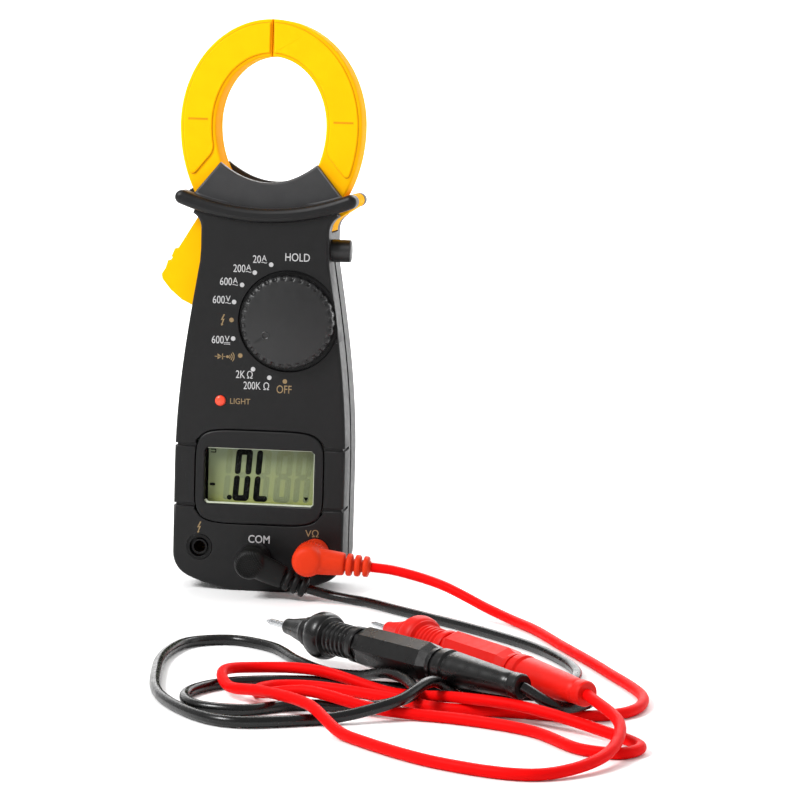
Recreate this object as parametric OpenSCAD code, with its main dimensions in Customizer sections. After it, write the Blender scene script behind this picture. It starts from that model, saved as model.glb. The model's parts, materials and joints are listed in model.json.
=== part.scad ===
/* [Case] */
// Greatest width of the case, at the display
body_w = 60.4; // [58:0.2:63]
// Width of the neck, between the dial and the guard
neck_w = 45; // [44:0.5:46]
// Thickness of the case from front face to back
body_t = 30; // [30:0.5:32]
// Wall thickness of the two shells
wall = 2; // [1.8:0.1:2.2]
// Radius of the curved bottom edge
bottom_r = 63; // [60:1:66]
// Radius of the bottom corners
corner_r = 9; // [8:0.5:10]
// Width of the flat foot
foot_w = 18; // [16:1:20]

/* [Clamp] */
// Overall height, from the foot to the jaws' top
overall_h = 200; // [199:0.5:202]
// Half width of the jaws, outside
jaw_out = 32; // [31:0.5:33]
// Half width of the jaws' opening
jaw_in = 19.4; // [19:0.2:20]
// Height of the widest point of the jaws
jaw_mid_z = 163; // [162:0.5:164]
// Thickness of the jaws without their raised pads
jaw_t = 15; // [14.6:0.1:15]
// Width of the jaws' band at the top
band_top = 13; // [12:0.5:14]
// Radius of the jaw pivot pin
pivot_r = 2.5; // [2.2:0.1:2.6]

/* [Dial] */
// Offset of the dial to the right of the centre line
dial_x = 9; // [8.6:0.1:9.2]
// Height of the dial's centre
dial_z = 95.6; // [95:0.2:96]
// Radius of the knob
knob_r = 16.2; // [15.8:0.1:16.8]
// Number of grip scallops round the knob
scallops = 32; // [24:2:36]

/* [Display] */
// Width of the display window
window_w = 38.8; // [38:0.2:39.4]
// Height of the display window
window_h = 19.8; // [19:0.2:20.2]
// Height of the window's centre
window_z = 40.5; // [40:0.1:41]

/* [Jacks and leads] */
// Distance of the outer jacks from the centre line
jack_x = 20.7; // [20:0.1:21]
// Height of the outer jacks
jack_z = 15; // [14.5:0.1:15.2]
// Height of the common jack
com_z = 12.5; // [12.2:0.1:13.2]
// Bore of a jack and diameter of a plug pin
jack_d = 4; // [4:0.1:4.2]
// Diameter of the test lead cords
cord_d = 3.3; // [3:0.1:3.4]

/* [Hidden] */
$fn = 64;

front_y = -body_t / 2;
back_y = body_t / 2;
body_half = body_w / 2;
neck_half = neck_w / 2;
// The sides flare from the neck's width to the full width between these heights
flare_top = 117;
flare_low = 44;
// The bottom arc is set so that the flat foot lies at height 0
arc_z = sqrt(pow(bottom_r, 2) - pow(foot_w / 2, 2));
corner_x = body_half - corner_r;
corner_z = arc_z - sqrt(pow(bottom_r - corner_r, 2) - pow(corner_x, 2));
corner_end = atan2(corner_z - arc_z, corner_x);
head_base = 129;
shoulder_r = 6;
jaw_half_t = jaw_t / 2;
pad_y = jaw_half_t + 0.7;
channel_y = jaw_half_t + 0.3;
// The plane where the front and rear halves of each jaw meet
jaw_split = 2.8;
head_y = 11;
seam_gap = 0.2;
// A shallow groove runs round the case where the two shells meet
seam_y = 0.8;
seam_depth = 0.7;
low_out = 42.3;
low_in = 27;
up_out = overall_h - jaw_mid_z;
up_in = up_out - band_top;
pivot_x = -17;
pivot_z = 131;
// The moving jaw's lower end is an arc round the pivot, so that it clears the fixed jaw
heel_r = 17.5;
cusp = [17, 150];
shoulder = [26, 139];
saddle_z = 143.3;
guard_r = 79;
guard_z = 132;
guard_half = 29.4;
guard_t = 4.9;
floor_y = front_y + 1.2;
recess_r = knob_r + 1.3;
board_y = -8.8;
hold_z = 120.3;
hold_y = -6.4;
hold_r = 3.95;
light_at = [-14.3, 67];
light_r = 1.85;
run_fit = 0.05;
screw_at = [[-21, 25], [21, 25], [-19, 92], [19, 112]];
cell_r = 5.2;
cell_z = 42;
cell_len = 44;

// Each lead: where its plug sits, which way its arm points, where its probe lies, and its cord's route
red_arm = -3.6;
black_arm = -22;
red_arm_y = -33;
black_arm_y = -29;
arm_len = 12.8;
relief_len = 9;
black_probe_from = [21.5, -128.5, 11.4];
black_probe_to = [106.5, -204, 10.4];
red_probe_from = [53.5, -121, 10.8];
red_probe_to = [125, -209.5, 10.4];
// The cords' routes: out of the plug, down to the floor, over each other in low humps, into the probe
black_route = [
    [20.2, -29, 4.3], [28.5, -29.2, 2.4], [40, -34, 1.8], [55, -48, 1.7], [87, -80, 1.7],
    [108, -108, 1.7], [119, -140, 1.7], [112, -164, 1.7], [91, -172, 1.7], [65, -172.5, 1.7],
    [40, -170, 1.7], [18, -178, 1.7], [9, -194, 1.7], [14, -210, 1.7], [28, -213.5, 1.7],
    [42, -203.5, 1.7], [58, -201.5, 1.7], [67, -201, 2.5], [75, -195.2, 4.8], [73, -186, 6],
    [65.5, -175.5, 6.5], [54.5, -162, 2.5], [44, -155, 1.7], [34, -142, 1.7], [22, -121, 1.7],
    [8, -113, 1.7], [-4, -119.5, 1.7], [-8, -136.5, 1.7], [-6, -164, 1.7], [4, -204, 1.7],
    [26, -229, 1.8], [50, -221, 1.7], [71.5, -209.5, 5.5], [80.5, -196, 9], [88.5, -184, 2],
    [104.5, -176.5, 2.2], [121, -184.5, 3.2], [125, -197, 5.2], [117, -206, 5.6], [106.5, -204, 10.4]
];
red_route = [
    [42.5, -33, 13.6], [51, -33.4, 12.8], [67, -37, 9.4], [84.5, -47, 3.6], [98, -64, 1.8],
    [113, -98, 1.7], [128, -134, 1.7], [140, -170, 1.7], [136, -190, 1.7], [122, -199, 1.7],
    [104, -198, 1.7], [82.5, -197, 1.7], [66.5, -186.5, 1.7], [42.5, -177, 1.8], [31.5, -179.5, 1.8],
    [28, -187.5, 1.8], [32.5, -196, 3.2], [45, -201.5, 5.5], [66, -207, 2.5], [88, -210, 1.7],
    [110, -220.5, 1.7], [126, -240.5, 1.7], [136.5, -242, 1.7], [141, -233, 1.7], [127, -218, 3],
    [107, -207.5, 5.5], [88, -197.5, 5], [67.5, -181, 1.8], [43.5, -170.5, 5.2], [25.5, -169.5, 5],
    [17, -178.5, 5.5], [20.5, -191, 3.5], [32.5, -203.5, 5.2], [48, -220.5, 5.8], [62, -240, 1.8],
    [90, -265, 1.7], [114, -272, 1.7], [131, -256, 3.2], [135, -230, 7], [125, -209.5, 10.4]
];
cord_sides = 8;

black_c = [0.16, 0.16, 0.17];
hump_c = [0.30, 0.30, 0.31];
yellow_c = [1, 0.82, 0.08];
red_c = [0.92, 0.22, 0.12];
brass_c = [0.8, 0.65, 0.3];
steel_c = [0.75, 0.76, 0.78];

// Half width of the case at height z
function side_x(z) = neck_half + (body_half - neck_half)
    * sin(90 * max(0, min(1, (flare_top - z) / (flare_top - flare_low))));

// Right half of the case outline, from height top down to the foot, moved in by inset
function half_outline(top, inset) = concat(
    [for (i = [0 : 26]) let (z = top + (corner_z - top) * i / 26) [side_x(z) - inset, z]],
    [for (i = [1 : 8]) let (a = corner_end * i / 8)
        [corner_x + (corner_r - inset) * cos(a), corner_z + (corner_r - inset) * sin(a)]],
    [for (i = [1 : 8]) let (a = corner_end + (-90 - corner_end) * i / 8,
        p = [(bottom_r - inset) * cos(a), arc_z + (bottom_r - inset) * sin(a)])
        [p[0], max(p[1], inset)]]
);

function mirrored(points) = concat(points, [for (i = [len(points) - 2 : -1 : 0])
    [-points[i][0], points[i][1]]]);

// A flat figure drawn in x and z, made solid from y0 to y1
module slab(y0, y1) {
    translate([0, y1, 0]) rotate([90, 0, 0]) linear_extrude(y1 - y0) children();
}

// A cylinder along y from y0 to y1
module post(x, z, r, y0, y1) {
    translate([x, y1, z]) rotate([90, 0, 0]) cylinder(r = r, h = y1 - y0);
}

module case_figure(top, inset) {
    polygon(mirrored(half_outline(top, inset)));
}

// Half of an egg shape: two half ellipses of different height on one width
function egg(half, up, low, grow, side) = [for (i = [0 : 48]) let (a = 90 - 180 * i / 48)
    [side * (half + grow) * cos(a), jaw_mid_z + ((a > 0) ? (up + grow) : (low + grow)) * sin(a)]];

// The band of one jaw, between two eggs, moved in by inset on both edges
module band_figure(side, inset) {
    difference() {
        polygon(egg(jaw_out, up_out, low_out, -inset, side));
        polygon(egg(jaw_in, up_in, low_in, inset, side));
    }
}

module core_figure(side) {
    difference() {
        polygon(egg(28, 32.8, 34, 0, side));
        polygon(egg(22, 26.6, 29, 0, side));
    }
}

// The middle of the head: two straight flanks and a dip between the cusps
function dip(x) = saddle_z + (cusp[1] - saddle_z) * pow(abs(x) / cusp[0], 2);
module head_figure() {
    flank = [[21, head_base - 3], [21, head_base + 2], [shoulder[0], 135.5], shoulder];
    polygon(concat([for (p = flank) [-p[0], p[1]]],
        [for (i = [-10 : 10]) let (x = cusp[0] * i / 10) [x, dip(x)]],
        [for (i = [3 : -1 : 0]) flank[i]]));
}

// The curved guard bar with round ends
module guard_figure() {
    span = asin(guard_half / guard_r);
    inner = guard_r - guard_t / 2;
    outer = guard_r + guard_t / 2;
    mid = guard_z + guard_r;
    polygon(concat(
        [for (i = [-12 : 12]) let (a = span * i / 12) [outer * sin(a), mid - outer * cos(a)]],
        [for (i = [12 : -1 : -12]) let (a = span * i / 12) [inner * sin(a), mid - inner * cos(a)]]));
    for (s = [-1, 1])
        translate([s * guard_r * sin(span), mid - guard_r * cos(span)]) circle(r = guard_t / 2, $fn = 32);
}

// The case's shoulders: the neck widens in small fillets to meet the guard
module shoulder_figure() {
    side = [for (t = [0 : 10 : 60])
        [neck_half + shoulder_r * (1 - cos(t)), head_base - 2 + shoulder_r * sin(t)]];
    top = [for (x = [24 : -4 : -24]) [x, guard_z + guard_r - sqrt(pow(guard_r, 2) - pow(x, 2))]];
    polygon(concat([[neck_half, head_base - 5]], side, top,
        [for (i = [len(side) - 1 : -1 : 0]) [-side[i][0], side[i][1]]], [[-neck_half, head_base - 5]]));
}

// Room for the jaws and the trigger, between the two shells' inner faces
module jaw_channel(depth) {
    slab(-depth, depth) polygon([[-50, 97.7], [-8, 97.7], [-8, 118.5], [20.5, 118.5], [20.5, 126.5],
        [50, 126.5], [50, 210], [-50, 210]]);
}

// The flat foot, which the seam's groove doesn't cross
module foot_figure() {
    intersection() {
        case_figure(head_base, 0);
        translate([-foot_w / 2, 0]) square([foot_w, 1.5]);
    }
}

module corner_posts(r, y0, y1) {
    for (p = screw_at) post(p[0], p[1], r, y0, y1);
}

module front_shell() color(black_c) {
    difference() {
        union() {
            difference() {
                union() {
                    slab(front_y, -seam_y) case_figure(head_base, 0);
                    slab(-seam_y - 0.1, 0) case_figure(head_base, seam_depth);
                    slab(-seam_y - 0.1, 0) foot_figure();
                    slab(front_y, 0) shoulder_figure();
                    slab(-head_y, 0) head_figure();
                }
                slab(front_y + wall, 1) case_figure(head_base - 2.5, wall);
                jaw_channel(channel_y);
            }
            slab(front_y - 2.2, -channel_y - 0.9) guard_figure();
            intersection() {
                post(dial_x, dial_z, recess_r + 1.4, front_y + 1, front_y + 2.8);
                slab(front_y, 0) case_figure(head_base, 0.5);
            }
            slab(front_y + 2.05, front_y + 2.8) bezel_figure(1.4);
            corner_posts(3, front_y + 1, 0);
        }
        post(dial_x, dial_z, recess_r, front_y - 5, floor_y);
        post(dial_x, dial_z, 4 + run_fit, front_y - 5, 0);
        for (s = [-1, 0, 1]) post(s * jack_x, s == 0 ? com_z : jack_z, 4.6, front_y - 1, front_y + 4);
        slab(front_y - 1, front_y + 2.05) bezel_figure(0.3);
        slab(front_y, -9) window_figure(3.3);
        for (z = [window_z - 10.6, window_z + 10.6]) difference() {
            translate([0, front_y, z]) cube([80, body_t - 8, 1], center = true);
            slab(front_y + 0.8, 20) case_figure(head_base, 0.8);
        }
        translate([10, hold_y, hold_z]) rotate([0, 90, 0]) cylinder(r = hold_r + run_fit, h = 20);
        post(light_at[0], light_at[1], light_r + run_fit, front_y - 1, 0);
        post(pivot_x, pivot_z, pivot_r, -head_y - 0.1, 0);
        corner_posts(1.1, front_y + 4, 1);
    }
}

module rear_shell() color(black_c) {
    difference() {
        union() {
            difference() {
                union() {
                    slab(seam_y + 1.4, back_y) case_figure(head_base, 0);
                    slab(0.05, seam_y + 1.5) case_figure(head_base, seam_depth);
                    slab(0.05, seam_y + 1.5) foot_figure();
                    slab(0.05, back_y) shoulder_figure();
                    slab(0.05, head_y) head_figure();
                }
                slab(-1, back_y - wall) case_figure(head_base - 2.5, wall);
                jaw_channel(channel_y);
            }
            slab(channel_y + 0.9, back_y + 0.5) guard_figure();
            corner_posts(3, 0.05, back_y - 1);
        }
        slab(back_y - wall - 1, back_y + 1) cover_figure(0.2);
        post(pivot_x, pivot_z, pivot_r, 0, head_y + 0.1);
        corner_posts(1.6, -1, back_y + 1);
        corner_posts(2.7, back_y - 3, back_y + 1);
    }
    // The lug that takes the battery cover's screw, and the rib that the jaw's spring leans on
    difference() {
        translate([-4.5, back_y - wall - 2.2, 30]) cube([9, 2.3, 11.6]);
        translate([-9, back_y - wall - 0.1, 33.7]) cube([18, 9, 20]);
        post(0, 39, 1.1, 0, back_y + 1);
    }
    translate([-3.8, -3.5, 101.5]) cube([1.6, back_y - wall + 3.6, 9]);
}

module cover_figure(grow) {
    translate([-13.5 - grow, 34 - grow]) square([27 + 2 * grow, 58 + 2 * grow]);
}

// Outline of the bezel panel: nearly straight sides and gently arched ends, with round corners
function rounded(v) = sign(v) * pow(abs(v), 2 / 5.5);
module bezel_figure(grow) {
    polygon([for (i = [0 : 95]) let (a = 3.75 * i + 1)
        [(22.6 + grow) * rounded(cos(a)), window_z - 0.2 + (16.5 + grow) * rounded(sin(a))]]);
}

// The window's outline with clipped corners
module window_figure(grow) {
    w = window_w / 2 + grow;
    h = window_h / 2 + grow;
    c = 1;
    translate([0, window_z]) polygon([[-w + c, -h], [w - c, -h], [w, -h + c], [w, h - c],
        [w - c, h], [-w + c, h], [-w, h - c], [-w, -h + c]]);
}

module display_bezel() color(black_c) {
    difference() {
        union() {
            slab(front_y - 0.4, front_y + 2) bezel_figure(0);
            slab(front_y + 1, -11.5) window_figure(1.6);
        }
        slab(front_y - 1, -11) window_figure(0);
    }
}

module display_window() color([0.8, 0.85, 0.85, 0.4]) slab(-11.45, -10.65) window_figure(1.2);

module lcd_glass() color([0.6, 0.65, 0.5]) slab(-10.6, -9.7) window_figure(1.0);

module lcd_frame() color("gray") {
    difference() {
        slab(-11.4, board_y - 0.02) window_figure(3);
        slab(-12, 0) window_figure(1.35);
    }
}

module contact_strips() color("dimgray") {
    for (s = [-1, 1]) translate([0, -9.25, window_z + s * 9.2]) cube([34, 0.86, 1.6], center = true);
}

module main_board() color("green") {
    difference() {
        slab(board_y, board_y + 1) polygon([[-25, 22.5], [25, 22.5], [25, 70], [19.5, 100],
            [19.5, 114.5], [15.4, 114.5], [15.4, 123.2], [-3, 123.2], [-5, 118], [-19.5, 100], [-24, 72]]);
        corner_posts(3.8, -20, 20);
        post(dial_x, dial_z, 4.6, -20, 20);
    }
}

module buzzer() color([0.1, 0.1, 0.1]) post(12, 30, 5.5, -7.75, -2.5);

module battery_cells() color("gold") {
    for (s = [-1, 1]) translate([s * 5.6, 6.6, cell_z]) {
        cylinder(r = cell_r, h = cell_len - 1);
        cylinder(r = 1.9, h = cell_len);
    }
}

module battery_contacts() color(steel_c) {
    for (s = [-1, 1]) translate([s * 5.6, 6.6, cell_z + cell_len + 0.35]) cube([8, 8, 0.6], center = true);
    translate([0, 6.6, cell_z - 4.2]) cube([19, 8, 0.6], center = true);
}

module battery_springs() color(steel_c) {
    for (s = [-1, 1]) translate([s * 5.6, 6.6, cell_z - 3.85]) difference() {
        cylinder(r1 = 4, r2 = 2.6, h = 3.8);
        translate([0, 0, -1]) cylinder(r = 1.8, h = 6);
    }
}

module battery_cover() color(black_c) {
    difference() {
        union() {
            slab(back_y - wall, back_y) cover_figure(0);
            translate([-6, back_y - wall - 1.3, 88]) cube([12, 1.5, 3.9]);
            translate([-6, back_y - wall - 1.3, 91]) cube([12, 1.2, 3]);
        }
        for (i = [0 : 4]) translate([0, back_y + 0.2, 70 + 3 * i]) cube([20, 1, 1.2], center = true);
        post(0, 39, 1.3, back_y - 8, back_y + 1);
        post(0, 39, 2.7, back_y - 1.1, back_y + 1);
    }
}

// A cross-headed screw, driven in from the back
module screw(x, z, y0, y1, head) {
    difference() {
        union() {
            post(x, z, 1.05, y0, y1 - 0.8);
            post(x, z, head, y1 - 1, y1);
        }
        translate([x, y1, z]) cube([3, 1, 0.5], center = true);
        translate([x, y1, z]) cube([0.5, 1, 3], center = true);
    }
}

module cover_screw() color(steel_c) screw(0, 39, back_y - 4, back_y - 0.1, 2.5);

module case_screws() color(steel_c) {
    for (p = screw_at) screw(p[0], p[1], -6, back_y - 1.9, 2.4);
}

module jack_at(i) {
    translate([i * jack_x, 0, i == 0 ? com_z : jack_z]) children();
}

module jack_bushes() color([0.08, 0.08, 0.08]) {
    for (i = [-1, 0, 1]) jack_at(i) difference() {
        union() {
            post(0, 0, 4.5, front_y - 0.2, front_y + 3);
            post(0, 0, 2.9, front_y + 3, 2);
        }
        post(0, 0, 3.4, front_y - 1, front_y + 0.5);
        difference() {
            post(0, 0, 3.4, front_y - 1, front_y + 2.4);
            post(0, 0, 2.75, front_y - 2, front_y + 4);
        }
        post(0, 0, 2.5, front_y + 2.6, 3);
        post(0, 0, jack_d / 2 + 0.02, front_y - 1, 3);
    }
}

module jack_sleeves() color(brass_c) {
    for (i = [-1, 0, 1]) jack_at(i) difference() {
        post(0, 0, 2.48, front_y + 2.65, 4);
        post(0, 0, jack_d / 2 + 0.02, front_y, 3);
    }
}

// The raised pad on a jaw's face, ending parallel to the head's flank
module pad_figure(side) {
    intersection() {
        band_figure(side, 0.9);
        polygon([[side * 0.9, 210], [side * 0.9, 160], [side * 16.5, 156], [side * 20.5, 153],
            [side * 36, 134.2], [side * 60, 150], [side * 60, 210]]);
    }
}

// The thin alignment mark across a jaw's pad
module mark(side, y) {
    translate([side * 25.6, y, 164.8]) cube([7, 0.7, 0.9], center = true);
}

// The moving jaw's lever, with its serrated thumb edge
module trigger_figure() {
    polygon([[-22, 134], [-24.5, 131.5], [-32.2, 118.8], [-33.1, 119.2], [-34.2, 116.4], [-33.8, 116.1],
        [-34.6, 114.8], [-35.4, 115], [-36.3, 112.2], [-37.6, 110.1], [-37.3, 108.4], [-34.4, 104.8],
        [-30.2, 101.3], [-25.8, 99.2], [-20, 98.8], [-19, 99.4], [-13.5, 113], [-11, 122], [-8, 131]]);
}

// One half of the moving jaw, on the side of y given by dir
module moving_half(dir) {
    y0 = dir < 0 ? -jaw_half_t : jaw_split;
    y1 = dir < 0 ? jaw_split : jaw_half_t;
    difference() {
        union() {
            difference() {
                slab(y0, y1) band_figure(-1, 0);
                translate([-seam_gap, -20, 90]) cube([20, 40, 130]);
                difference() {
                    translate([pivot_x + 4, -20, 100]) cube([30, 40, 36]);
                    post(pivot_x, pivot_z, heel_r, -25, 25);
                }
            }
            slab(y0, y1) trigger_figure();
            slab(dir < 0 ? -pad_y : jaw_split, dir < 0 ? jaw_split : pad_y) pad_figure(-1);
        }
        slab(-4.6, 4.6) core_room(-1);
        post(pivot_x, pivot_z, pivot_r + run_fit, -25, 25);
        mark(-1, dir * pad_y);
    }
}

// Room for the core inside a jaw, with a little clearance
module core_room(side) {
    difference() {
        polygon(egg(28, 32.8, 34, 0.4, side));
        polygon(egg(22, 26.6, 29, -0.4, side));
    }
}

module moving_jaw_front() color(yellow_c) moving_half(-1);

module moving_jaw_rear() color(yellow_c) moving_half(1);

module moving_core() color(steel_c) {
    difference() {
        slab(-4.2, 4.2) core_figure(-1);
        translate([-0.5, -20, 90]) cube([20, 40, 130]);
        difference() {
            translate([pivot_x + 4, -20, 100]) cube([30, 40, 36]);
            post(pivot_x, pivot_z, heel_r - 0.3, -25, 25);
        }
    }
}

module fixed_half(dir) {
    y0 = dir < 0 ? -jaw_half_t : jaw_split;
    y1 = dir < 0 ? jaw_split : jaw_half_t;
    difference() {
        union() {
            difference() {
                slab(y0, y1) band_figure(1, 0);
                translate([-20 + seam_gap, -20, 90]) cube([20, 40, 130]);
                post(pivot_x, pivot_z, heel_r + 0.4, -25, 25);
            }
            slab(dir < 0 ? -pad_y : jaw_split, dir < 0 ? jaw_split : pad_y) pad_figure(1);
            slab(y0, y1) intersection() {
                union() {
                    guard_figure();
                    shoulder_figure();
                }
                translate([18, head_base - 2.2]) square([20, 30]);
            }
        }
        slab(-4.6, 4.6) core_room(1);
        mark(1, dir * pad_y);
    }
}

module fixed_jaw_front() color(yellow_c) fixed_half(-1);

module fixed_jaw_rear() color(yellow_c) fixed_half(1);

// The stretch of the fixed core that carries the winding
module winding_figure(inset) {
    intersection() {
        difference() {
            polygon(egg(28, 32.8, 34, -inset, 1));
            polygon(egg(22, 26.6, 29, inset, 1));
        }
        translate([12, 152]) square([30, 12]);
    }
}

module fixed_core() color(steel_c) {
    difference() {
        slab(-4.2, 4.2) core_figure(1);
        translate([-20 + 0.5, -20, 90]) cube([20, 40, 130]);
        post(pivot_x, pivot_z, heel_r + 0.6, -25, 25);
        difference() {
            slab(-5, 5) winding_figure(-1);
            slab(-3, 3) winding_figure(1.2);
        }
    }
}

module core_winding() color([0.7, 0.35, 0.15]) {
    difference() {
        slab(-4.2, 4.2) winding_figure(0);
        slab(-3.02, 3.02) winding_figure(1.18);
    }
}

module jaw_pivot_pin() color(steel_c) post(pivot_x, pivot_z, pivot_r, -head_y, head_y);

// A coil spring drawn as its outer sleeve, between the trigger and the rib in the neck
module jaw_spring() color(steel_c) {
    translate([-14.6, 0, 106]) rotate([0, 90, 0]) difference() {
        cylinder(r = 2.6, h = 10.7);
        translate([0, 0, -1]) cylinder(r = 1.8, h = 13);
    }
}

module hold_switch() color([0.15, 0.15, 0.15]) {
    translate([12.8, board_y + 1.05, hold_z - 2.6]) cube([2.4, 3.2, 5.2]);
}

module light_switch() color([0.15, 0.15, 0.15]) {
    translate([light_at[0] - 2, -11.1, light_at[1] - 2]) cube([4, 2.28, 4]);
}

module dial_knob() color([0.2, 0.2, 0.21]) {
    top = front_y - 5.6;
    difference() {
        union() {
            post(dial_x, dial_z, knob_r, top + 1, floor_y - 0.3);
            translate([dial_x, top, dial_z]) rotate([-90, 0, 0])
                cylinder(r1 = knob_r - 1.2, r2 = knob_r, h = 1.01);
            post(dial_x, dial_z, 4, floor_y - 0.4, -9.8);
        }
        for (i = [0 : scallops - 1]) {
            a = 360 * i / scallops;
            translate([dial_x + (knob_r + 0.35) * cos(a), 0, dial_z + (knob_r + 0.35) * sin(a)])
                post(0, 0, 1.1, top - 1, front_y - 0.5);
        }
        post(dial_x + 9 * cos(214), dial_z + 9 * sin(214), 1.25, top - 1, top + 0.7);
        translate([dial_x, 0, dial_z]) rotate([0, -214, 0]) translate([12.4, top, 0])
            cube([3.6, 0.8, 0.6], center = true);
    }
}

module dial_rotor() color([0.85, 0.85, 0.8]) {
    difference() {
        post(dial_x, dial_z, 14.2, -11.9, -10.2);
        post(dial_x, dial_z, 4.01, -20, 0);
    }
}

module dial_wipers() color(brass_c) {
    for (a = [30, 150, 270]) translate([dial_x, 0, dial_z]) rotate([0, -a, 0])
        translate([10, -9.7, 0]) cube([6, 0.96, 2], center = true);
}

module hold_button() color([0.12, 0.12, 0.12]) {
    translate([20.2, hold_y, hold_z]) rotate([0, 90, 0]) cylinder(r = hold_r, h = 8.9);
    translate([29, hold_y, hold_z]) rotate([0, 90, 0]) cylinder(r1 = hold_r, r2 = hold_r - 0.5, h = 0.5);
    translate([18.6, hold_y, hold_z]) rotate([0, 90, 0]) cylinder(r = hold_r + 0.7, h = 1.62);
}

module light_button() color(red_c) {
    post(light_at[0], light_at[1], light_r, front_y - 0.4, -12.6);
    translate([light_at[0], front_y - 0.4, light_at[1]]) rotate([90, 0, 0])
        cylinder(r1 = light_r, r2 = light_r - 0.7, h = 0.5);
    post(light_at[0], light_at[1], light_r + 0.8, -12.7, -12.05);
}

// Points of a smooth curve through p1 and p2, with neighbours p0 and p3
function knot(t, a, b) = t + sqrt(norm(b - a));
function blend(a, b, ta, tb, t) = a * ((tb - t) / (tb - ta)) + b * ((t - ta) / (tb - ta));
function curve_point(p0, p1, p2, p3, u) = let (
    t1 = knot(0, p0, p1), t2 = knot(t1, p1, p2), t3 = knot(t2, p2, p3), t = t1 + (t2 - t1) * u,
    a1 = blend(p0, p1, 0, t1, t), a2 = blend(p1, p2, t1, t2, t), a3 = blend(p2, p3, t2, t3, t),
    b1 = blend(a1, a2, 0, t2, t), b2 = blend(a2, a3, t1, t3, t)) blend(b1, b2, t1, t2, t);
function on_floor(p) = [p[0], p[1], max(p[2], cord_d / 2 + 0.02)];
function curve(route) = let (n = len(route),
    q = concat([2 * route[0] - route[1]], route, [2 * route[n - 1] - route[n - 2]]))
    concat([for (i = [1 : n - 1], u = [0, 0.5]) on_floor(curve_point(q[i - 1], q[i], q[i + 1], q[i + 2], u))],
        [route[n - 1]]);
function unit(v) = v / norm(v);
function heading(c, i) = unit(c[min(i + 1, len(c) - 1)] - c[max(i - 1, 0)]);

// A round cord swept along a curve, as one closed solid
module cord(route) {
    c = curve(route);
    n = cord_sides;
    m = len(c);
    rings = [for (i = [0 : m - 1])
        let (t = heading(c, i), s = unit(cross(t, [0, 0, 1])), u = cross(s, t))
        for (k = [0 : n - 1]) let (a = 360 * (k + 0.5) / n) c[i] + cord_d / 2 * (cos(a) * s + sin(a) * u)];
    sides = [for (i = [0 : m - 2], k = [0 : n - 1]) [i * n + k, i * n + (k + 1) % n]];
    polyhedron(rings, concat(
        [[for (k = [0 : n - 1]) k]],
        [for (e = sides) [e[0], e[0] + n, e[1]]],
        [for (e = sides) [e[1], e[0] + n, e[1] + n]],
        [[for (k = [n - 1 : -1 : 0]) (m - 1) * n + k]]));
}

// A right-angled plug: a round head over the pin, with an arm leaving sideways
module plug_place(x, z) {
    translate([x, 0, z]) children();
}

module along_arm(arm_y, angle) {
    translate([0, arm_y, 0]) rotate([0, 90 - angle, 0]) children();
}

module plug_body(arm_y, angle, ribbed) {
    difference() {
        union() {
            post(0, 0, 4.9, -19, front_y - 0.25);
            post(0, 0, 5.4, arm_y - 4, -18.5);
            translate([0, arm_y - 4, 0]) rotate([90, 0, 0]) cylinder(r1 = 5.4, r2 = 4.3, h = 1.6);
            along_arm(arm_y, angle) cylinder(r1 = 4.4, r2 = 3.7, h = arm_len);
        }
        if (ribbed) for (i = [0 : 17])
            rotate([0, 20 * i, 0]) translate([5.4, arm_y + 0.5, 0]) cube([0.7, 8, 0.7], center = true);
        post(0, 0, 2, -24, 0);
    }
}

module plug_pin() {
    post(0, 0, jack_d / 2, -24, -1.5);
    translate([0, -1.5, 0]) rotate([-90, 0, 0]) cylinder(r1 = jack_d / 2, r2 = 1, h = 1.2);
}

// Three thick ribs on a thin core that bends with the cord
module strain_relief(arm_y, angle) {
    along_arm(arm_y, angle) translate([0, 0, arm_len]) {
        cylinder(r1 = 2.6, r2 = 2.1, h = relief_len);
        for (i = [0 : 2])
            translate([0, 0, 0.8 + 2.9 * i]) cylinder(r1 = 3.7 - 0.2 * i, r2 = 3.6 - 0.2 * i, h = 1.8);
    }
}

module black_plug_body() color([0.1, 0.1, 0.1]) plug_place(0, com_z) plug_body(black_arm_y, black_arm, true);
module black_plug_pin() color(steel_c) plug_place(0, com_z) plug_pin();
module black_strain_relief() color([0.1, 0.1, 0.1]) plug_place(0, com_z) strain_relief(black_arm_y, black_arm);
module red_plug_body() color(red_c) plug_place(jack_x, jack_z) plug_body(red_arm_y, red_arm, false);
module red_plug_pin() color(steel_c) plug_place(jack_x, jack_z) plug_pin();
module red_strain_relief() color(red_c) plug_place(jack_x, jack_z) strain_relief(red_arm_y, red_arm);
module black_cord() color([0.08, 0.08, 0.08]) cord(black_route);
module red_cord() color([0.9, 0.12, 0.1]) cord(red_route);

// Lays a piece drawn along z from one point towards another
module lay(from, to) {
    d = to - from;
    translate(from) rotate([0, acos(d[2] / norm(d)), atan2(d[1], d[0])]) children();
}

module turned(profile) {
    rotate_extrude($fn = 64) polygon(profile);
}

module probe_tip() {
    turned([[0, 0], [0.35, 0.3], [1, 2.4], [1, 22], [0, 22]]);
}

module probe_guard() {
    difference() {
        turned(concat([[0, 10], [2, 10], [2.4, 10.4], [2.7, 13], [4.1, 19.5], [4.6, 20.5], [4.6, 22], [4, 22.6],
            [4, 24], [6.4, 24.6]],
            [for (i = [-3 : 3]) [5.9 + 1.4 * cos(25 * i), 27.9 + 3.1 * sin(25 * i)]],
            [[6.2, 31.3], [4.9, 31.8]],
            [for (i = [0 : 4], p = [[4.9, 0.2], [5.25, 0.5], [5.25, 1.2], [4.75, 1.5]])
                [p[0] - 0.05 * i, 31.8 + 1.9 * i + p[1]]],
            [[4.6, 42], [0, 42]]));
        translate([0, 0, 9]) cylinder(r = 1, h = 13);
    }
}

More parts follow.
